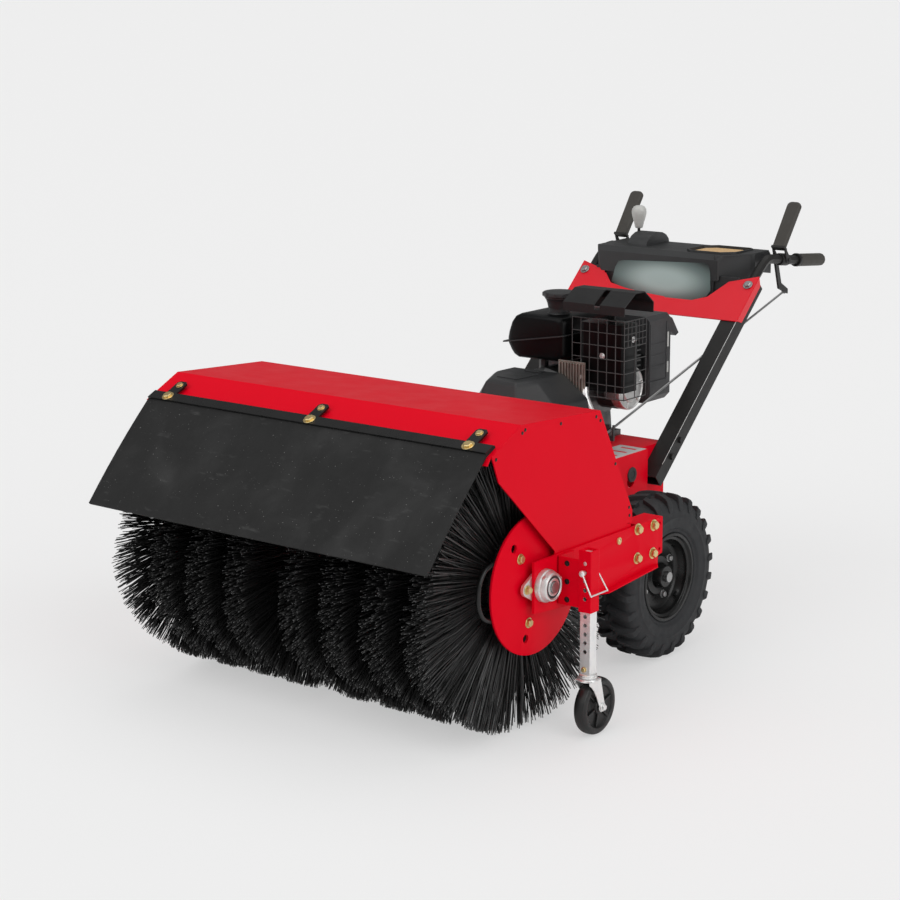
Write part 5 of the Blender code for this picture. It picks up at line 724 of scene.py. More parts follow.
def hitch_pin(hand, side):
    """The pin through the sleeve with its sprung wire bail."""
    x = side * CASTER_X
    profile = [(-0.0135, 0), (-0.0135, 0.005), (-0.012, 0.0066), (-0.006, 0.0066), (-0.0045, 0.0052),
               (-0.004, 0.0039), (0.045, 0.0039), (0.0458, 0.003), (0.0458, 0)]
    bm = turned(profile, 28, at(x, 0.0451, PIN_Z), (0, 1, 0))
    out = side * 0.0249
    corners = [(0, 0.0361, 0), (out * 0.1, 0.0352, -0.004), (out * 0.93, 0.0334, -0.042),
               (out, 0.036, -0.0448), (out, 0.042, -0.045), (out, 0.088, -0.045), (out, 0.0935, -0.0446),
               (out * 0.93, 0.0945, -0.0418), (out * 0.1, 0.0888, -0.004), (0, 0.0879, 0)]
    add_sweep(bm, smooth_path([at(x + a, y, PIN_Z + b) for a, y, b in corners], 4), 0.0018, 10)
    show(bm, "pin_and_bail_" + hand, "hitch_pin_" + hand, ZINC, "hitch_pin_" + hand, smooth=50)


def caster_fork(hand, side):
    """The pressed yoke with its dome, tapering cheeks and axle bolt."""
    x = side * CASTER_X
    body = "caster_fork_" + hand
    bm = bmesh.new()
    cheek = [(0.04, 0.131), (0.0392, 0.127), (0.04, 0.1225), (0.048, 0.1165), (0.058, 0.1045), (0.068, 0.088),
             (0.0755, 0.07)]
    for i in range(9):
        turn = radians(150 + 240 * i / 8)
        cheek.append((CASTER_AXLE_Y + 0.0112 * cos(turn), CASTER_AXLE_Z + 0.0112 * sin(turn)))
    cheek += [(0.095, 0.076), (0.09, 0.096), (0.086, 0.112), (0.0829, 0.124), (0.0822, 0.131)]
    for end in (-1, 1):
        corners = [at(x + end * 0.0178, y, z) for y, z in cheek]
        add_prism(bm, corners, Vector((end * 0.0026, 0, 0)))
    add_block(bm, (x - 0.0204, 0.04, 0.1282), (x + 0.0204, 0.0822, 0.1312))
    show(bm, "yoke_" + hand, body, ZINC, "caster_fork_" + hand, smooth=30, rounding=(0.001, 2))
    profile = [(0.1275, 0), (0.1275, 0.024), (0.13, 0.0243), (0.1318, 0.0232), (0.133, 0.0205), (0.1334, 0)]
    bm = turned(profile, 56, at(x, CASTER_Y, 0), (0, 0, 1))
    for end in (-1, 1):
        add_revolve(bm, [(0, 0), (0, 0.0095), (0.002, 0.0095), (0.0026, 0.0088), (0.0026, 0)], 28,
                    at(x + end * 0.0204, CASTER_AXLE_Y, CASTER_AXLE_Z), (end, 0, 0))
        add_revolve(bm, [(0.0026, 0), (0.0026, 0.0068), (0.0068, 0.0068), (0.008, 0.0058), (0.008, 0)], 6,
                    at(x + end * 0.0204, CASTER_AXLE_Y, CASTER_AXLE_Z), (end, 0, 0), turn=0.4)
    add_revolve(bm, [(-0.02, 0), (-0.02, 0.0056), (0.02, 0.0056), (0.02, 0)], 20,
                at(x, CASTER_AXLE_Y, CASTER_AXLE_Z), (1, 0, 0))
    show(bm, "yoke_cap_" + hand, body, ZINC, smooth=30, rounding=(0.0005, 2))


def caster_wheel(hand, side):
    """The solid wheel with a rounded tread, a ribbed dish and its hub."""
    x = side * CASTER_X
    half = [(0.0158, 0.0064), (0.0158, 0.015), (0.0145, 0.0165), (0.0085, 0.0185), (0.008, 0.021),
            (0.008, 0.042), (0.01, 0.0455), (0.0135, 0.047), (0.0148, 0.0485), (0.0152, 0.053),
            (0.0142, 0.0575), (0.0115, 0.0612), (0.007, 0.063), (0.002, 0.0635)]
    profile = half + [(-a, r) for a, r in reversed(half)]
    centre = at(x, CASTER_AXLE_Y, CASTER_AXLE_Z)
    bm = turned(profile, 72, centre, (1, 0, 0))
    for end in (-1, 1):
        for i in range(6):
            turn = pi / 3 * i + 0.3
            along, across = spokes(turn)
            out = Vector((end, 0, 0))
            corners = [(0.016, -1), (0.016, 1), (0.045, 1), (0.045, -1)]
            add_prism(bm, spread_points(centre + out * 0.007, along, across * 0.002, corners), out * 0.0055)
    show(bm, "roller_" + hand, "caster_wheel_" + hand, CASTER, "caster_wheel_" + hand, smooth=35,
         rounding=(0.0006, 2))


# Drive wheels


def tyre(hand, side):
    """The tyre: a rounded carcass with sidewall rings and two rows of chevron lugs."""
    centre = at(side * WHEEL_X, WHEEL_Y, WHEEL_Z)
    half = [
        (0.047, 0.103), (0.0474, 0.1062), (0.05, 0.11), (0.051, 0.1102), (0.052, 0.1125), (0.0545, 0.1175),
        (0.0552, 0.1178), (0.056, 0.12), (0.0566, 0.1205), (0.0572, 0.124), (0.0586, 0.133), (0.0594, 0.143),
        (0.0598, 0.1434), (0.0598, 0.1462), (0.0593, 0.1468), (0.0586, 0.156), (0.057, 0.166),
        (0.0545, 0.174), (0.05, 0.18), (0.042, 0.184), (0.025, 0.187), (0.008, 0.188)]
    profile = half + [(-a, r) for a, r in reversed(half)]
    bm = turned(profile, 144, centre, (1, 0, 0))
    show(bm, "carcass_" + hand, "wheel_" + hand, TYRE, "tyre_" + hand, smooth=50)
    bm = bmesh.new()
    slant = pi / 48
    stations = [(0.0018, 0.1989, 0.184, 2.2), (0.018, 0.1988, 0.184, 2.3), (0.036, 0.1976, 0.182, 2.4),
                (0.047, 0.195, 0.178, 2.5), (0.054, 0.19, 0.174, 2.6), (0.058, 0.18, 0.168, 2.4),
                (0.0592, 0.168, 0.16, 1.8)]
    for row, end in ((0, 1), (1, -1)):
        for i in range(LUGS_IN_ROW):
            middle = -pi / 2 + (i + row / 2) * 2 * pi / LUGS_IN_ROW
            rings = []
            for x, top, low, width in stations:
                share = min(x / 0.054, 1)
                angle = middle + side * slant * (2 * share - 1)
                spread = radians(width)
                ring = []
                for turn, radius in ((-1.18, low), (-1, top), (1, top), (1.18, low)):
                    a = angle + spread * turn
                    ring.append(
                        bm.verts.new(centre + Vector((side * end * x, radius * cos(a), radius * sin(a)))))
                rings.append(ring)
            join_rings(bm, rings)
    show(bm, "lugs_" + hand, "wheel_" + hand, TYRE, "tyre_" + hand, smooth=25,
         rounding=(0.0016, 2, 28))


def rim(hand, side):
    """The pressed rim: stepped flange, deep dish, hub, wheel bolts and valve."""
    centre = at(side * WHEEL_X, WHEEL_Y, WHEEL_Z)
    body = "wheel_" + hand
    profile = [
        (0.0476, 0.106), (0.049, 0.1072), (0.0508, 0.1068), (0.0514, 0.1055), (0.0514, 0.1), (0.05, 0.0985),
        (0.0455, 0.0975), (0.044, 0.096), (0.0436, 0.0925), (0.042, 0.0905), (0.033, 0.0895), (0.03, 0.087),
        (0.02, 0.085), (0.015, 0.081), (0.013, 0.074), (0.0135, 0.052), (0.016, 0.048), (0.019, 0.046),
        (0.0195, 0.034), (0.021, 0.0305), (0.04, 0.0262), (0.042, 0.025), (0.042, 0.0132), (-0.042, 0.0132),
        (-0.042, 0.025), (0.008, 0.03), (0.0095, 0.074), (0.012, 0.085), (-0.034, 0.09), (-0.04, 0.096),
        (-0.05, 0.0985), (-0.0514, 0.1), (-0.0514, 0.1055), (-0.0508, 0.1068), (-0.049, 0.1072),
        (-0.0476, 0.106), (-0.0474, 0.1026), (0.0474, 0.1026)]
    bm = turned(profile, 128, centre, (side, 0, 0))
    show(bm, "dish_" + hand, body, BLACK, "rim_" + hand)
    spots = []
    for i in range(4):
        turn = pi / 2 * i + 0.5
        spots.append((centre + Vector((side * 0.0134, 0.062 * cos(turn), 0.062 * sin(turn))), (side, 0, 0)))
    bolts("wheel_bolts_" + hand, body, STEEL, spots, 0.0078, 0.008, 1.3)
    bm = bmesh.new()
    foot = centre + Vector((side * 0.03, 0.06, -0.0585))
    add_revolve(bm, [(0, 0), (0, 0.005), (0.01, 0.0042), (0.012, 0.0034), (0.024, 0.0034), (0.025, 0)], 20,
                foot, (side * 0.6, -0.55, 0.55))
    show(bm, "valve_" + hand, body, SEAL)


# Engine and its covers


def belt_cover():
    """The moulded belt cover with its chamfered front corner, top plate and rod guide."""
    bm = bmesh.new()
    levels = (
        (0.4613, (-0.108, 0.69), (-0.108, 0.545), (-0.062, 0.485), (0.078, 0.485), (0.165, 0.57),
         (0.165, 0.69)),
        (0.59, (-0.104, 0.69), (-0.104, 0.562), (-0.056, 0.498), (0.062, 0.498), (0.132, 0.562),
         (0.139, 0.69)),
        (0.637, (-0.094, 0.69), (-0.096, 0.618), (-0.048, 0.521), (0.049, 0.513), (0.072, 0.574),
         (0.074, 0.69)),
        (0.644, (-0.086, 0.69), (-0.088, 0.626), (-0.042, 0.53), (0.043, 0.523), (0.06, 0.58), (0.062, 0.69)))
    join_rings(bm, [[bm.verts.new(at(x, y, z)) for x, y in points] for z, *points in levels])
    show(bm, "belt_shroud", "chassis", PLASTIC, "belt_cover", smooth=20,
         rounding=(0.0045, 4, 15))
    bm = bmesh.new()
    corners = [at(x, y, 0.6438) for x, y in ((-0.07, 0.64), (-0.04, 0.556), (0.024, 0.552), (0.03, 0.64))]
    add_prism(bm, corners, Vector((0, 0, 0.002)))
    add_block(bm, (-0.03, 0.655, 0.6438), (0.02, 0.672, 0.6475))
    guide = [(0.14, 0.4983), (0.2303, 0.4983), (0.2303, 0.5383), (0.2263, 0.5383), (0.2263, 0.5103),
             (0.2187, 0.5103), (0.2187, 0.5383), (0.14, 0.5383)]
    add_sheet(bm, guide, 0.666, 0.006)
    show(bm, "shroud_trim", "chassis", PLASTIC, "belt_cover", smooth=20,
         rounding=(0.0008, 2))


def fuel_tank():
    """The pressed tank: soft shoulders, a slanting seam flange and its filler neck."""
    outline = [
        (-0.064, 0.7793), (0.04, 0.7793), (0.05, 0.776), (0.0555, 0.768), (0.056, 0.734), (0.056, 0.686),
        (0.052, 0.674), (0.042, 0.6665), (-0.086, 0.6655), (-0.1, 0.672), (-0.11, 0.684), (-0.119, 0.7),
        (-0.1205, 0.712), (-0.117, 0.73), (-0.108, 0.755), (-0.096, 0.771), (-0.082, 0.7775)]
    middle = Vector((-0.032, 0.722))
    bm = bmesh.new()
    rings = []
    for y, share in ((0.701, 0.8), (0.7025, 0.9), (0.708, 0.97), (0.718, 1), (0.896, 1), (0.906, 0.97),
                     (0.9115, 0.9), (0.913, 0.8)):
        rings.append([bm.verts.new(at(*(middle.x + (x - middle.x) * share, y,
                                        middle.y + (z - middle.y) * share))) for x, z in outline])
    join_rings(bm, rings)
    show(bm, "tank_shell", "chassis", TANK, "fuel_tank", smooth=50)
    bm = bmesh.new()
    plan = [(-0.134, 0.712), (-0.129, 0.699), (-0.118, 0.695), (0.046, 0.695), (0.057, 0.699), (0.061, 0.712),
            (0.061, 0.902), (0.057, 0.915), (0.046, 0.919), (-0.118, 0.919), (-0.129, 0.915), (-0.134, 0.902)]
    slope = tan(radians(9.5))
    add_prism(bm, [at(x, y, 0.7005 + (x + 0.134) * slope) for x, y in plan], Vector((0, 0, 0.0034)))
    add_revolve(bm, [(0, 0.0215), (0, 0.03), (0.003, 0.0285), (0.004, 0.0262), (0.03, 0.0258),
                     (0.03, 0.0215)], 48, at(CAP_X, CAP_Y, 0.779), (0, 0, 1))
    show(bm, "tank_seam", "chassis", PLASTIC, "fuel_tank", rounding=(0.0007, 2))
    profile = [(0.812, 0), (0.812, 0.0268), (0.794, 0.0268), (0.7935, 0.0282), (0.806, 0.031),
               (0.815, 0.0345), (0.818, 0.0372), (0.8215, 0.0376), (0.822, 0.0405), (0.8235, 0.0415),
               (0.8315, 0.0418), (0.8335, 0.0408), (0.8343, 0.038), (0.8343, 0)]
    bm = turned(profile, 72, at(CAP_X, CAP_Y, 0), (0, 0, 1))
    for i in range(10):
        turn = 2 * pi * i / 10
        along = Vector((cos(turn), sin(turn), 0))
        across = Vector((-sin(turn), cos(turn), 0)) * 0.0042
        corners = [(0.036, -1), (0.0432, -0.8), (0.0432, 0.8), (0.036, 1)]
        add_prism(bm, spread_points(at(CAP_X, CAP_Y, 0.8235), along, across, corners), Vector((0, 0, 0.009)))
    show(bm, "cap", "fuel_cap", PLASTIC, "fuel_cap", smooth=35, rounding=(0.0006, 2))


def guard():
    """The wire guard: fine crossing rods on a frame, with a denser side."""
    bm = bmesh.new()
    low, high = 0.5938, 0.7858
    front, back = 0.7025, 0.7975
    for i in range(7):
        x = 0.0815 + i * 0.153 / 6
        add_sweep(bm, [at(x, front, low), at(x, front, high)], 0.0012, 8)
    for i in range(7):
        z = low + i * (high - low) / 6
        path = [at(0.0815, front, z), at(0.2315, front, z), at(0.2345, front + 0.003, z), at(0.2345, back, z)]
        add_sweep(bm, path, 0.0012 if 0 < i < 6 else 0.0015, 8)
    for i in range(1, 7):
        y = front + i * (back - front) / 6
        add_sweep(bm, [at(0.2345, y, low if i in (3, 6) else high - 0.064), at(0.2345, y, high)], 0.0012, 8)
    for i in range(1, 4):
        z = high - 0.016 * i
        add_sweep(bm, [at(0.2345, front, z), at(0.2345, back, z)], 0.001, 8)
    show(bm, "guard_wires", "chassis", WIRE, "muffler_guard", smooth=60)


def engine_details():
    """The ribbed shroud, round side cover, carburettor, bolts and blower ribs."""
    bm = bmesh.new()
    for i in range(9):
        x = 0.048 + i * 0.0085
        add_block(bm, (x, 0.6915, 0.56), (x + 0.0045, 0.7, 0.672))
    add_block(bm, (0.044, 0.696, 0.556), (0.124, 0.701, 0.676))
    show(bm, "shroud_ribs", "chassis", WARM_CAST, rounding=(0.0012, 2))
    profile = [(0.11, 0), (0.11, 0.056), (0.15, 0.056), (0.1535, 0.0545), (0.154, 0.052), (0.1515, 0.05),
               (0.1515, 0.036), (0.156, 0.033), (0.156, 0.012), (0.154, 0.01), (0.154, 0)]
    bm = turned(profile, 96, at(0, COVER_Y, COVER_Z), (1, 0, 0))
    for i in range(6):
        turn = pi / 3 * i + 0.25
        along, across = spokes(turn)
        corners = [(0.03, -1), (0.052, -1), (0.052, 1), (0.03, 1)]
        add_prism(bm, spread_points(at(0.1505, COVER_Y, COVER_Z), along, across * 0.0022, corners),
                  Vector((0.0035, 0, 0)))
    show(bm, "side_cover", "chassis", BRIGHT_CAST, smooth=35, rounding=(0.001, 2))
    bm = turned([(0.648, 0), (0.648, 0.013), (0.653, 0.0145), (0.662, 0.0145), (0.664, 0.011), (0.684, 0.011),
                 (0.688, 0.009), (0.688, 0)], 40, at(0.139, 0.857, 0), (0, 0, 1))
    show(bm, "carburettor_bowl", "chassis", BRIGHT_CAST)
    bm = bmesh.new()
    add_block(bm, (0.09, 0.806, 0.65), (0.128, 0.9, 0.735))
    add_block(bm, (0.11, 0.835, 0.688), (0.15, 0.905, 0.7))
    add_block(bm, (0.1, 0.88, 0.6), (0.15, 0.9185, 0.668))
    wire = ((0.146, 0.9, 0.7), (0.158, 0.88, 0.712), (0.16, 0.85, 0.706), (0.15, 0.838, 0.694))
    add_sweep(bm, smooth_path([at(*point) for point in wire], 6), 0.0016, 8)
    show(bm, "carburettor_body", "chassis", TANK, rounding=(0.003, 3))
    spots = [(at(0.162, 0.715, 0.694), (0, -1, 0)), (at(0.112, 0.7, 0.64), (0, -1, 0)),
             (at(0.222, 0.76, 0.735), (1, 0, 0))]
    bolts("engine_bolts", "chassis", ZINC, spots, 0.0056, 0.006, 1.4)
    bm = bmesh.new()
    tube = ((0.118, 0.706, 0.612), (0.124, 0.7, 0.59), (0.136, 0.706, 0.556), (0.14, 0.72, 0.52))
    add_sweep(bm, smooth_path([at(*point) for point in tube], 6), 0.0095, 20)
    show(bm, "breather_tube", "chassis", ZINC)
    bm = bmesh.new()
    for z in (0.69, 0.662, 0.634):
        add_block(bm, (0.164, 0.926, z), (0.1664, 0.998, z + 0.003))
    for y in (0.9235, 0.9985):
        add_block(bm, (0.164, y, 0.6), (0.1664, y + 0.003, 0.745))
    add_block(bm, (0.156, 0.922, 0.56), (0.1672, 1.0000, 0.598))
    show(bm, "blower_ribs", "chassis", HOUSING, rounding=(0.0008, 2))
    bm = bmesh.new()
    for low, high in ((0.678, 0.716), (0.612, 0.64)):
        add_block(bm, (0.1648, 1.003, low), (0.1656, 1.01, high))
    show(bm, "blower_gaps", "chassis", KNOB, rounding=(0.0002, 1))


# Console and handles


def console():
    """The console with its cut corner, skirts, cork tray liner, quadrant strip and panel."""
    obj = copy_node("console", "console_shell")
    bm = bmesh.new()
    add_slab(bm, ((0.15, 1.23), (0.25, 1.23), (0.25, 1.364)), 0.7, 0.25)
    cut_out(obj, [finish_mesh(bm, "cutter")])
    bevel(obj, 0.003, 3)
    place(obj, "chassis", PLASTIC, "console")
    bm = bmesh.new()
    wall = [(0.149, 1.2465), (0.153, 1.2465), (0.2243, 1.33), (0.2243, 1.34), (0.22, 1.34)]
    add_slab(bm, wall, 0.815, 0.069)
    skirt = [(-0.224, 0.83), (-0.224, 0.805), (-0.2, 0.778), (-0.18, 0.756), (-0.145, 0.748), (-0.145, 0.83)]
    add_sheet(bm, skirt, 1.252, 0.004)
    skirt = [(0.145, 0.83), (0.145, 0.77), (0.17, 0.778), (0.2, 0.805), (0.224, 0.83)]
    add_sheet(bm, skirt, 1.253, 0.004)
    show(bm, "console_skirts", "chassis", PLASTIC, "console", rounding=(0.001, 2))
    bm = bmesh.new()
    plate = [(-0.17, 0.79), (-0.158, 0.83), (-0.148, 0.846), (-0.13, 0.85), (0.125, 0.862), (0.136, 0.856),
             (0.14, 0.84), (0.142, 0.79), (0.13, 0.774), (0.09, 0.761), (0.04, 0.754), (-0.01, 0.753),
             (-0.06, 0.757), (-0.11, 0.766), (-0.15, 0.778)]
    add_sheet(bm, plate, 1.244, 0.0018)
    show(bm, "panel_plate", "chassis", PANEL, rounding=(0.0008, 2))
    bm = bmesh.new()
    liner = [(0.052, 1.285), (0.065, 1.269), (0.154, 1.269), (0.1815, 1.298), (0.1815, 1.358), (0.156, 1.386),
             (0.066, 1.386), (0.052, 1.372)]
    add_slab(bm, liner, 0.8732, 0.0112)
    show(bm, "tray_liner", "chassis", CORK, rounding=(0.0012, 2))
    bm = bmesh.new()
    centre = at(0, SHIFT_Y, SHIFT_PIVOT_Z)
    turns = [radians(34 + 112 * i / 16) for i in range(17)]
    inner, outer = [[centre + Vector((-0.1515, radius * cos(turn), radius * sin(turn))) for turn in turns]
                    for radius in (0.056, 0.059)]
    add_prism(bm, inner + outer[::-1], Vector((0.0075, 0, 0)))
    show(bm, "quadrant_strip", "chassis", ZINC, smooth=30)
    bm = bmesh.new()
    web = [(-0.199, 1.243), (-0.186, 1.243), (-0.155, 1.2199), (-0.1, 1.21), (-0.04, 1.2035), (0.03, 1.199),
           (0.03, 1.193), (-0.1161, 1.193), (-0.1561, 1.205), (-0.199, 1.242)]
    add_prism(bm, [at(x, y, 0.7676 + (y - 1.1967) * 0.926) for x, y in web], Vector((0, -0.0014, 0.0016)))
    show(bm, "bracket_web", "chassis", BRACKET_RED)
    spots = [(at(x, 1.242, 0.8158), (0, -0.679, 0.734)) for x in (-0.2561, 0.2561)]
    bolts("bracket_bolts", "chassis", STEEL, spots, 0.0098, 0.0072, 1.35)


def shifter():
    """The grey shift knob on its black rod."""
    profile = [(0.924, 0), (0.924, 0.009), (0.9265, 0.0108), (0.94, 0.0138), (0.953, 0.0178), (0.962, 0.0198),
               (0.969, 0.0203), (0.976, 0.019), (0.982, 0.015), (0.985, 0.009), (0.9859, 0)]
    bm = turned(profile, 56, at(SHIFT_X, SHIFT_Y, 0), (0, 0, 1))
    show(bm, "shift_knob", "shift_lever", KNOB, "shift_lever", smooth=60)
    profile = [(0.8608, 0), (0.8608, 0.004), (0.89, 0.004), (0.891, 0.006), (0.912, 0.0054), (0.913, 0.004),
               (0.925, 0.004), (0.925, 0)]
    bm = turned(profile, 28, at(SHIFT_X, SHIFT_Y, 0), (0, 0, 1))
    eye = [(-0.0045, 0.0038), (-0.0045, 0.008), (0.0045, 0.008), (0.0045, 0.0038)]
    add_revolve(bm, eye, 32, at(SHIFT_X, SHIFT_Y, SHIFT_PIVOT_Z), (1, 0, 0))
    show(bm, "shift_rod", "shift_lever", BLACK, "shift_lever")


def hand_lever(hand, side):
    """The padded hand lever: a rounded foam pad over the steel cheeks and crank."""
    along, up = spokes(radians(53.8))
    foot = at(side * LEVER_X, 1.4076, 0.8921)
    obj = copy_node("hand_lever_" + hand, "lever_frame_" + hand)
    bm = bmesh.new()
    corners = spread_points(foot, along, up, [(0.006, -0.05), (0.2, -0.05), (0.2, 0.05), (0.006, 0.05)])
    add_prism(bm, [corner - Vector((0.05, 0, 0)) for corner in corners], Vector((0.1, 0, 0)))
    cut_out(obj, [finish_mesh(bm, "cutter")])
    place(obj, "hand_lever_" + hand, SATIN, "hand_lever_" + hand)
    bm = bmesh.new()
    across = Vector((1, 0, 0))
    outline = [(-0.0185, 0), (0.0185, 0)]
    for middle, first in ((0.007, 0), (-0.007, 90)):
        for i in range(7):
            turn = radians(first + 15 * i)
            outline.append((middle + 0.013 * cos(turn), 0.129 + 0.013 * sin(turn)))
    add_prism(bm, [foot + across * a + along * b - up * 0.0078 for a, b in outline], up * 0.0158)
    show(bm, "lever_pad_" + hand, "hand_lever_" + hand, SOFT, "hand_lever_" + hand,
         rounding=(0.0055, 4, 50))
    bar = Vector((0, 0.9925, -0.1226))
    profile = [(-0.02, 0.0128), (-0.02, 0.015), (-0.018, 0.0163), (0.018, 0.0163), (0.02, 0.015),
               (0.02, 0.0128)]
    bm = turned(profile, 40, at(side * LEVER_X, 1.4286, 0.8621), bar)
    add_revolve(bm, [(0.07, 0.0128), (0.07, 0.0168), (0.072, 0.0178), (0.08, 0.0178), (0.0815, 0.0166),
                     (0.0815, 0.0128)], 40, at(side * LEVER_X, 1.4286, 0.8621), bar)
    show(bm, "bar_collars_" + hand, "chassis", SATIN)


# Deck and flap strap


def deck_details():
    """The pale slotted deck plate, grommets, painted highlight lines along the handle legs' edges and the
    strap's gold bolts.
    """
    for hand, side in SIDES:
        bm = bmesh.new()
        add_block(bm, (side * 0.172, 0.64, 0.4611), (side * 0.248, 0.785, 0.4621))
        plate = finish_mesh(bm, "deck_plate_" + hand)
        cut_out(plate, [block_cutter((side * 0.188, y, 0.455), (side * 0.234, y + 0.012, 0.47))
                        for y in (0.672, 0.714, 0.756)])
        place(plate, "chassis", PALE)
        bm = turned(
            [(-0.002, 0.015), (-0.002, 0.01), (0.0022, 0.01), (0.003, 0.012), (0.003, 0.018), (0.001, 0.019),
             (0.0002, 0.019), (0.0002, 0.015)], 40, at(side * 0.25, 0.719, 0.409), (side, 0, 0))
        add_revolve(bm, [(-0.001, 0), (-0.001, 0.011), (0.0012, 0.011), (0.0012, 0)], 32,
                    at(side * 0.25, 0.719, 0.409), (side, 0, 0))
        show(bm, "grommet_" + hand, "chassis", SEAL)
        # A thin pale bar along each handle leg's edge: a painted highlight, not a part of the machine.
        bm = bmesh.new()
        along = Vector((0, 0.7337, 0.6794))
        start = at(side * 0.2726, 0.8045 - 0.0183 * 0.6794, 0.3786 + 0.0183 * 0.7337)
        add_sweep(bm, [start + along * 0.04, start + along * 0.5], 0.0007, 6)
        show(bm, "leg_edge_highlight_" + hand, "chassis", PALE)
    spots = [(at(x, -0.1712, 0.6638), (0, -0.435, 0.9)) for x in STRAP_BOLTS_X]
    bolts("strap_bolts", "broom_head", GOLD, spots, 0.0108, 0.0068, 1.35)
    spots = [(at(x, -0.1325, 0.6827), (0, -0.447, 0.894)) for x in STRAP_BOLTS_X]
    bolts("tab_bolts", "broom_head", GOLD, spots, 0.0078, 0.0046, 1.2)


# Stage


def mixed(tree, share, one, two):
    """A mix of two shaders or backgrounds."""
    mix = tree.nodes.new("ShaderNodeMixShader")
    return fill(mix, [(0, share), (1, one.outputs[0]), (2, two.outputs[0])])


def make_stage():
    """A plain pale floor, wide soft suns and a pale background."""
    bm = bmesh.new()
    bmesh.ops.create_grid(bm, x_segments=1, y_segments=1, size=150)
    floor = finish_mesh(bm, "floor")
    floor.location.z = -0.0005
    material = bpy.data.materials.new("floor_paper")
    material.use_nodes = True
    tree = material.node_tree
    paper = fill(tree.nodes["Principled BSDF"], Base_Color=(0.88, 0.88, 0.88, 1), Roughness=0.9,
                 Specular_IOR_Level=0.1)
    glow = fill(tree.nodes.new("ShaderNodeEmission"), Color=(0.885, 0.885, 0.885, 1))
    seen = tree.nodes.new("ShaderNodeLightPath").outputs["Is Camera Ray"]
    share = tree.nodes.new("ShaderNodeMath")
    share.operation = "MULTIPLY"
    fill(share, [(0, seen), (1, 0.55)])
    mix = mixed(tree, share.outputs[0], paper, glow)
    fill(tree.nodes["Material Output"], Surface=mix.outputs[0])
    floor.data.materials.append(material)

    world = bpy.data.worlds.new("studio")
    bpy.context.scene.world = world
    world.use_nodes = True
    tree = world.node_tree
    light = fill(tree.nodes["Background"], Color=(1, 1, 1, 1), Strength=0.42)
    seen = fill(tree.nodes.new("ShaderNodeBackground"), Color=(0.865, 0.865, 0.865, 1))
    mirrored = fill(tree.nodes.new("ShaderNodeBackground"), Color=(0.22, 0.22, 0.22, 1))
    path = tree.nodes.new("ShaderNodeLightPath")
    mix = mixed(tree, path.outputs["Is Glossy Ray"], light, mirrored)
    last = mixed(tree, path.outputs["Is Camera Ray"], mix, seen)
    fill(tree.nodes["World Output"], Surface=last.outputs[0])

    def sun(name, azimuth, height, spread, strength):
        """A wide soft sun, by the compass angle and height it comes from."""
        data = bpy.data.lights.new(name, "SUN")
        data.energy = strength
        data.angle = radians(spread)
        obj = bpy.data.objects.new(name, data)
        azimuth = radians(azimuth)
        height = radians(height)
        towards = Vector((cos(azimuth) * cos(height), sin(azimuth) * cos(height), sin(height)))
        obj.rotation_euler = towards.to_track_quat("Z", "Y").to_euler()
        bpy.context.scene.collection.objects.link(obj)

    sun("key", -12, 32, 50, 1.15)
    sun("front", -105, 42, 60, 0.9)
    sun("top", 110, 75, 60, 0.5)
    bpy.context.scene.view_settings.view_transform = "Standard"


# Assembly


def dress_nodes(finishes):
    """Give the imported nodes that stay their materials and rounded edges."""
    for names, material, width in finishes:
        for name in names:
            node = nodes[name]
            node.data.materials.clear()
            node.data.materials.append(material)
            if width:
                bevel(node, width)


def both(*names):
    """Left and right names."""
    return [name + "_" + side for name in names for side, _ in SIDES]


make_camera()
make_stage()
RED = red_paint("red_gloss", 0.045)
BRACKET_RED = red_paint("bracket_red", 0.55)
BLACK = coat("black_gloss", (0.006, 0.006, 0.006), 0.24, [((700, 2), 0.68, 0.76, 0.15, (0.05, 0.048, 0.046))],
             ((25, 4), 0.2, 0.38), [((500, 2), 0.00003)], specular=0.4)
SATIN = satin_paint("black_satin", (0.016, 0.0155, 0.015), (0.03, 0.029, 0.028))
SHADE = satin_paint("shade_black", (0.012, 0.0122, 0.0125), (0.02, 0.02, 0.0205))
WIRE = satin_paint("guard_wire", (0.055, 0.055, 0.055), (0.085, 0.085, 0.085))
# Matt sheet rubber with cloth print, scuffs and white dust specks
FLAP = coat(
    "flap_rubber", (0.017, 0.017, 0.017), 0.66,
    [((6, 6, (1, 1, 1), 0.6), 0.45, 0.85, 0.5, (0.06, 0.06, 0.06)),
     ((60, 6, (0.35, 1, 1)), 0.6, 0.8, 0.35, (0.085, 0.085, 0.084)),
     (85, 0.055, 0.035, 0.45, (0.42, 0.42, 0.41)), ((230, 1), 0.76, 0.8, 0.5, (0.4, 0.4, 0.39))],
    ((30, 4), 0.62, 0.85), [((1300, 2), 0.00006), ((9, 4), 0.0006)], specular=0.25)
TYRE = coat(
    "tyre_rubber", (0.021, 0.022, 0.024), 0.66,
    [((14, 5), 0.45, 0.8, 0.5, (0.036, 0.036, 0.037)), ((500, 2), 0.66, 0.76, 0.3, (0.09, 0.088, 0.084))],
    ((60, 3), 0.55, 0.8), [((800, 3), 0.00008)], specular=0.4)
CASTER = coat("caster_rubber", (0.008, 0.008, 0.008), 0.36, [((30, 4), 0.45, 0.8, 0.5, (0.022, 0.021, 0.02))],
              ((60, 3), 0.3, 0.5), [((900, 2), 0.00004)])
SOFT = soft_rubber("grip_rubber", (0.05, 0.046, 0.04))
SEAL = soft_rubber("seal_rubber", (0.03, 0.03, 0.031))
PLASTIC = coat("black_plastic", (0.022, 0.023, 0.024), 0.42, [((9, 4), 0.4, 0.8, 0.4, (0.036, 0.037, 0.038))],
               ((35, 3), 0.36, 0.52), [(1700, 0.00006)])
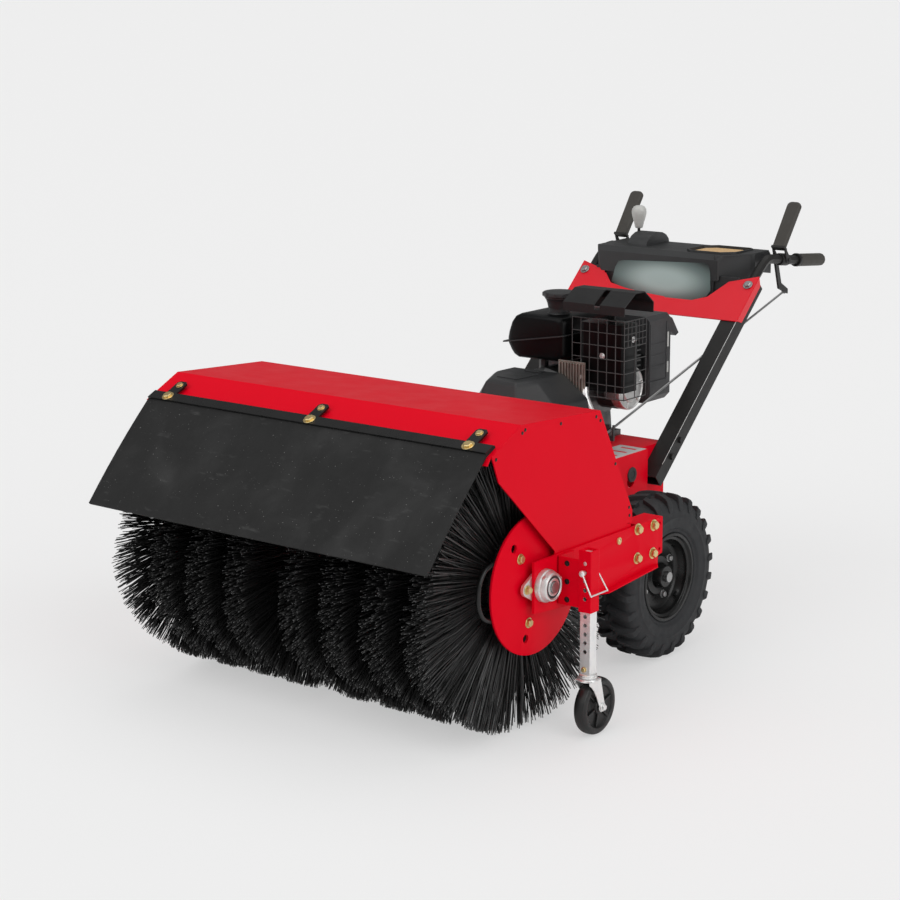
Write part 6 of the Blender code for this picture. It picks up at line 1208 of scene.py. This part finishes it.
TANK = coat(
    "tank_black", (0.0025, 0.0028, 0.003), 0.36, [((14, 4), 0.45, 0.85, 0.4, (0.007, 0.0072, 0.0075))],
    ((22, 4), 0.26, 0.42), [((600, 2), 0.00004)], specular=0.16)
HOUSING = coat("housing_grey", (0.036, 0.036, 0.038), 0.46, [((11, 4), 0.4, 0.8, 0.4, (0.052, 0.052, 0.056))],
               ((35, 3), 0.38, 0.56), [(1500, 0.00006)])
KNOB = coat("knob_grey", (0.5, 0.5, 0.48), 0.42, [((60, 4), 0.4, 0.8, 0.4, (0.4, 0.4, 0.39))],
            ((80, 3), 0.36, 0.5), [((1500, 2), 0.00003)])
CORK = coat("cork", (0.62, 0.42, 0.22), 0.85,
            [((180, 4), 0.45, 0.7, 0.5, (0.45, 0.28, 0.13)), (420, 0.28, 0.12, 0.7, (0.26, 0.15, 0.07))],
            ((90, 3), 0.78, 0.92), [(420, 0.0004)], specular=0.2)
# Pale plated finish of the deck plates; the same colour paints the highlight bars along the handle legs.
PALE = coat("pale_plate", (0.66, 0.66, 0.65), 0.35, [((35, 5), 0.4, 0.8, 0.5, (0.55, 0.55, 0.55))],
            ((90, 4, (1, 0.2, 1)), 0.28, 0.46), [((700, 3), 0.00002)], metallic=0.25)
ZINC = plated("zinc", (0.9, 0.9, 0.89), (0.78, 0.79, 0.81), 0.28, 0.46, 0.72)
GOLD = plated("gold_zinc", (0.78, 0.62, 0.3), (0.7, 0.5, 0.22), 0.24, 0.4)
STEEL = plated("steel", (0.42, 0.42, 0.42), (0.34, 0.34, 0.34), 0.3, 0.45)
CAST = cast_metal("cast_aluminium", (0.52, 0.53, 0.53))
BRIGHT_CAST = cast_metal("bright_cast", (0.8, 0.8, 0.79))
WARM_CAST = cast_metal("warm_cast", (0.4, 0.37, 0.33))
DARK_CAST = cast_metal("dark_cast", (0.15, 0.15, 0.15))
BRISTLE = bristle()
PANEL = panel_face()

dress_nodes([
    (["hood_panel", "cross_member", "gear_case", "chassis_frame"]
     + both("side_plate"), RED, 0.0009),
    (["console_bracket"], BRACKET_RED, 0.0009),
    (["flap_strap"], BLACK, 0.0007),
    (both("handle_leg", "handlebar"), SATIN, 0.0006),
    (["heat_deflector"], SHADE, 0.0005),
    (["muffler"], TANK, 0.0015),
    (both("grip"), SOFT, 0.0015),
    (["pull_grip"], PLASTIC, 0.0015),
    (["blower_housing"], HOUSING, 0.003),
    (["axle", "brush_shaft", "control_rod"], STEEL, 0.0005),
    (["engine_block"], DARK_CAST, 0.0015),
    (["gearbox"], CAST, 0.0015),
])

for hand, side in SIDES:
    for number in range(1, 5):
        full_wafer(f"{hand}_{number}", side * (WAFER_FIRST_X + (number - 1) * WAFER_STEP))
    for build in (end_disc, bearing, arm, rivets, caster_sleeve, caster_stem, hitch_pin, caster_fork,
                  caster_wheel, tyre, rim, hand_lever):
        build(hand, side)
for build in (full_flap, belt_cover, fuel_tank, guard, engine_details, console, shifter, deck_details):
    build()
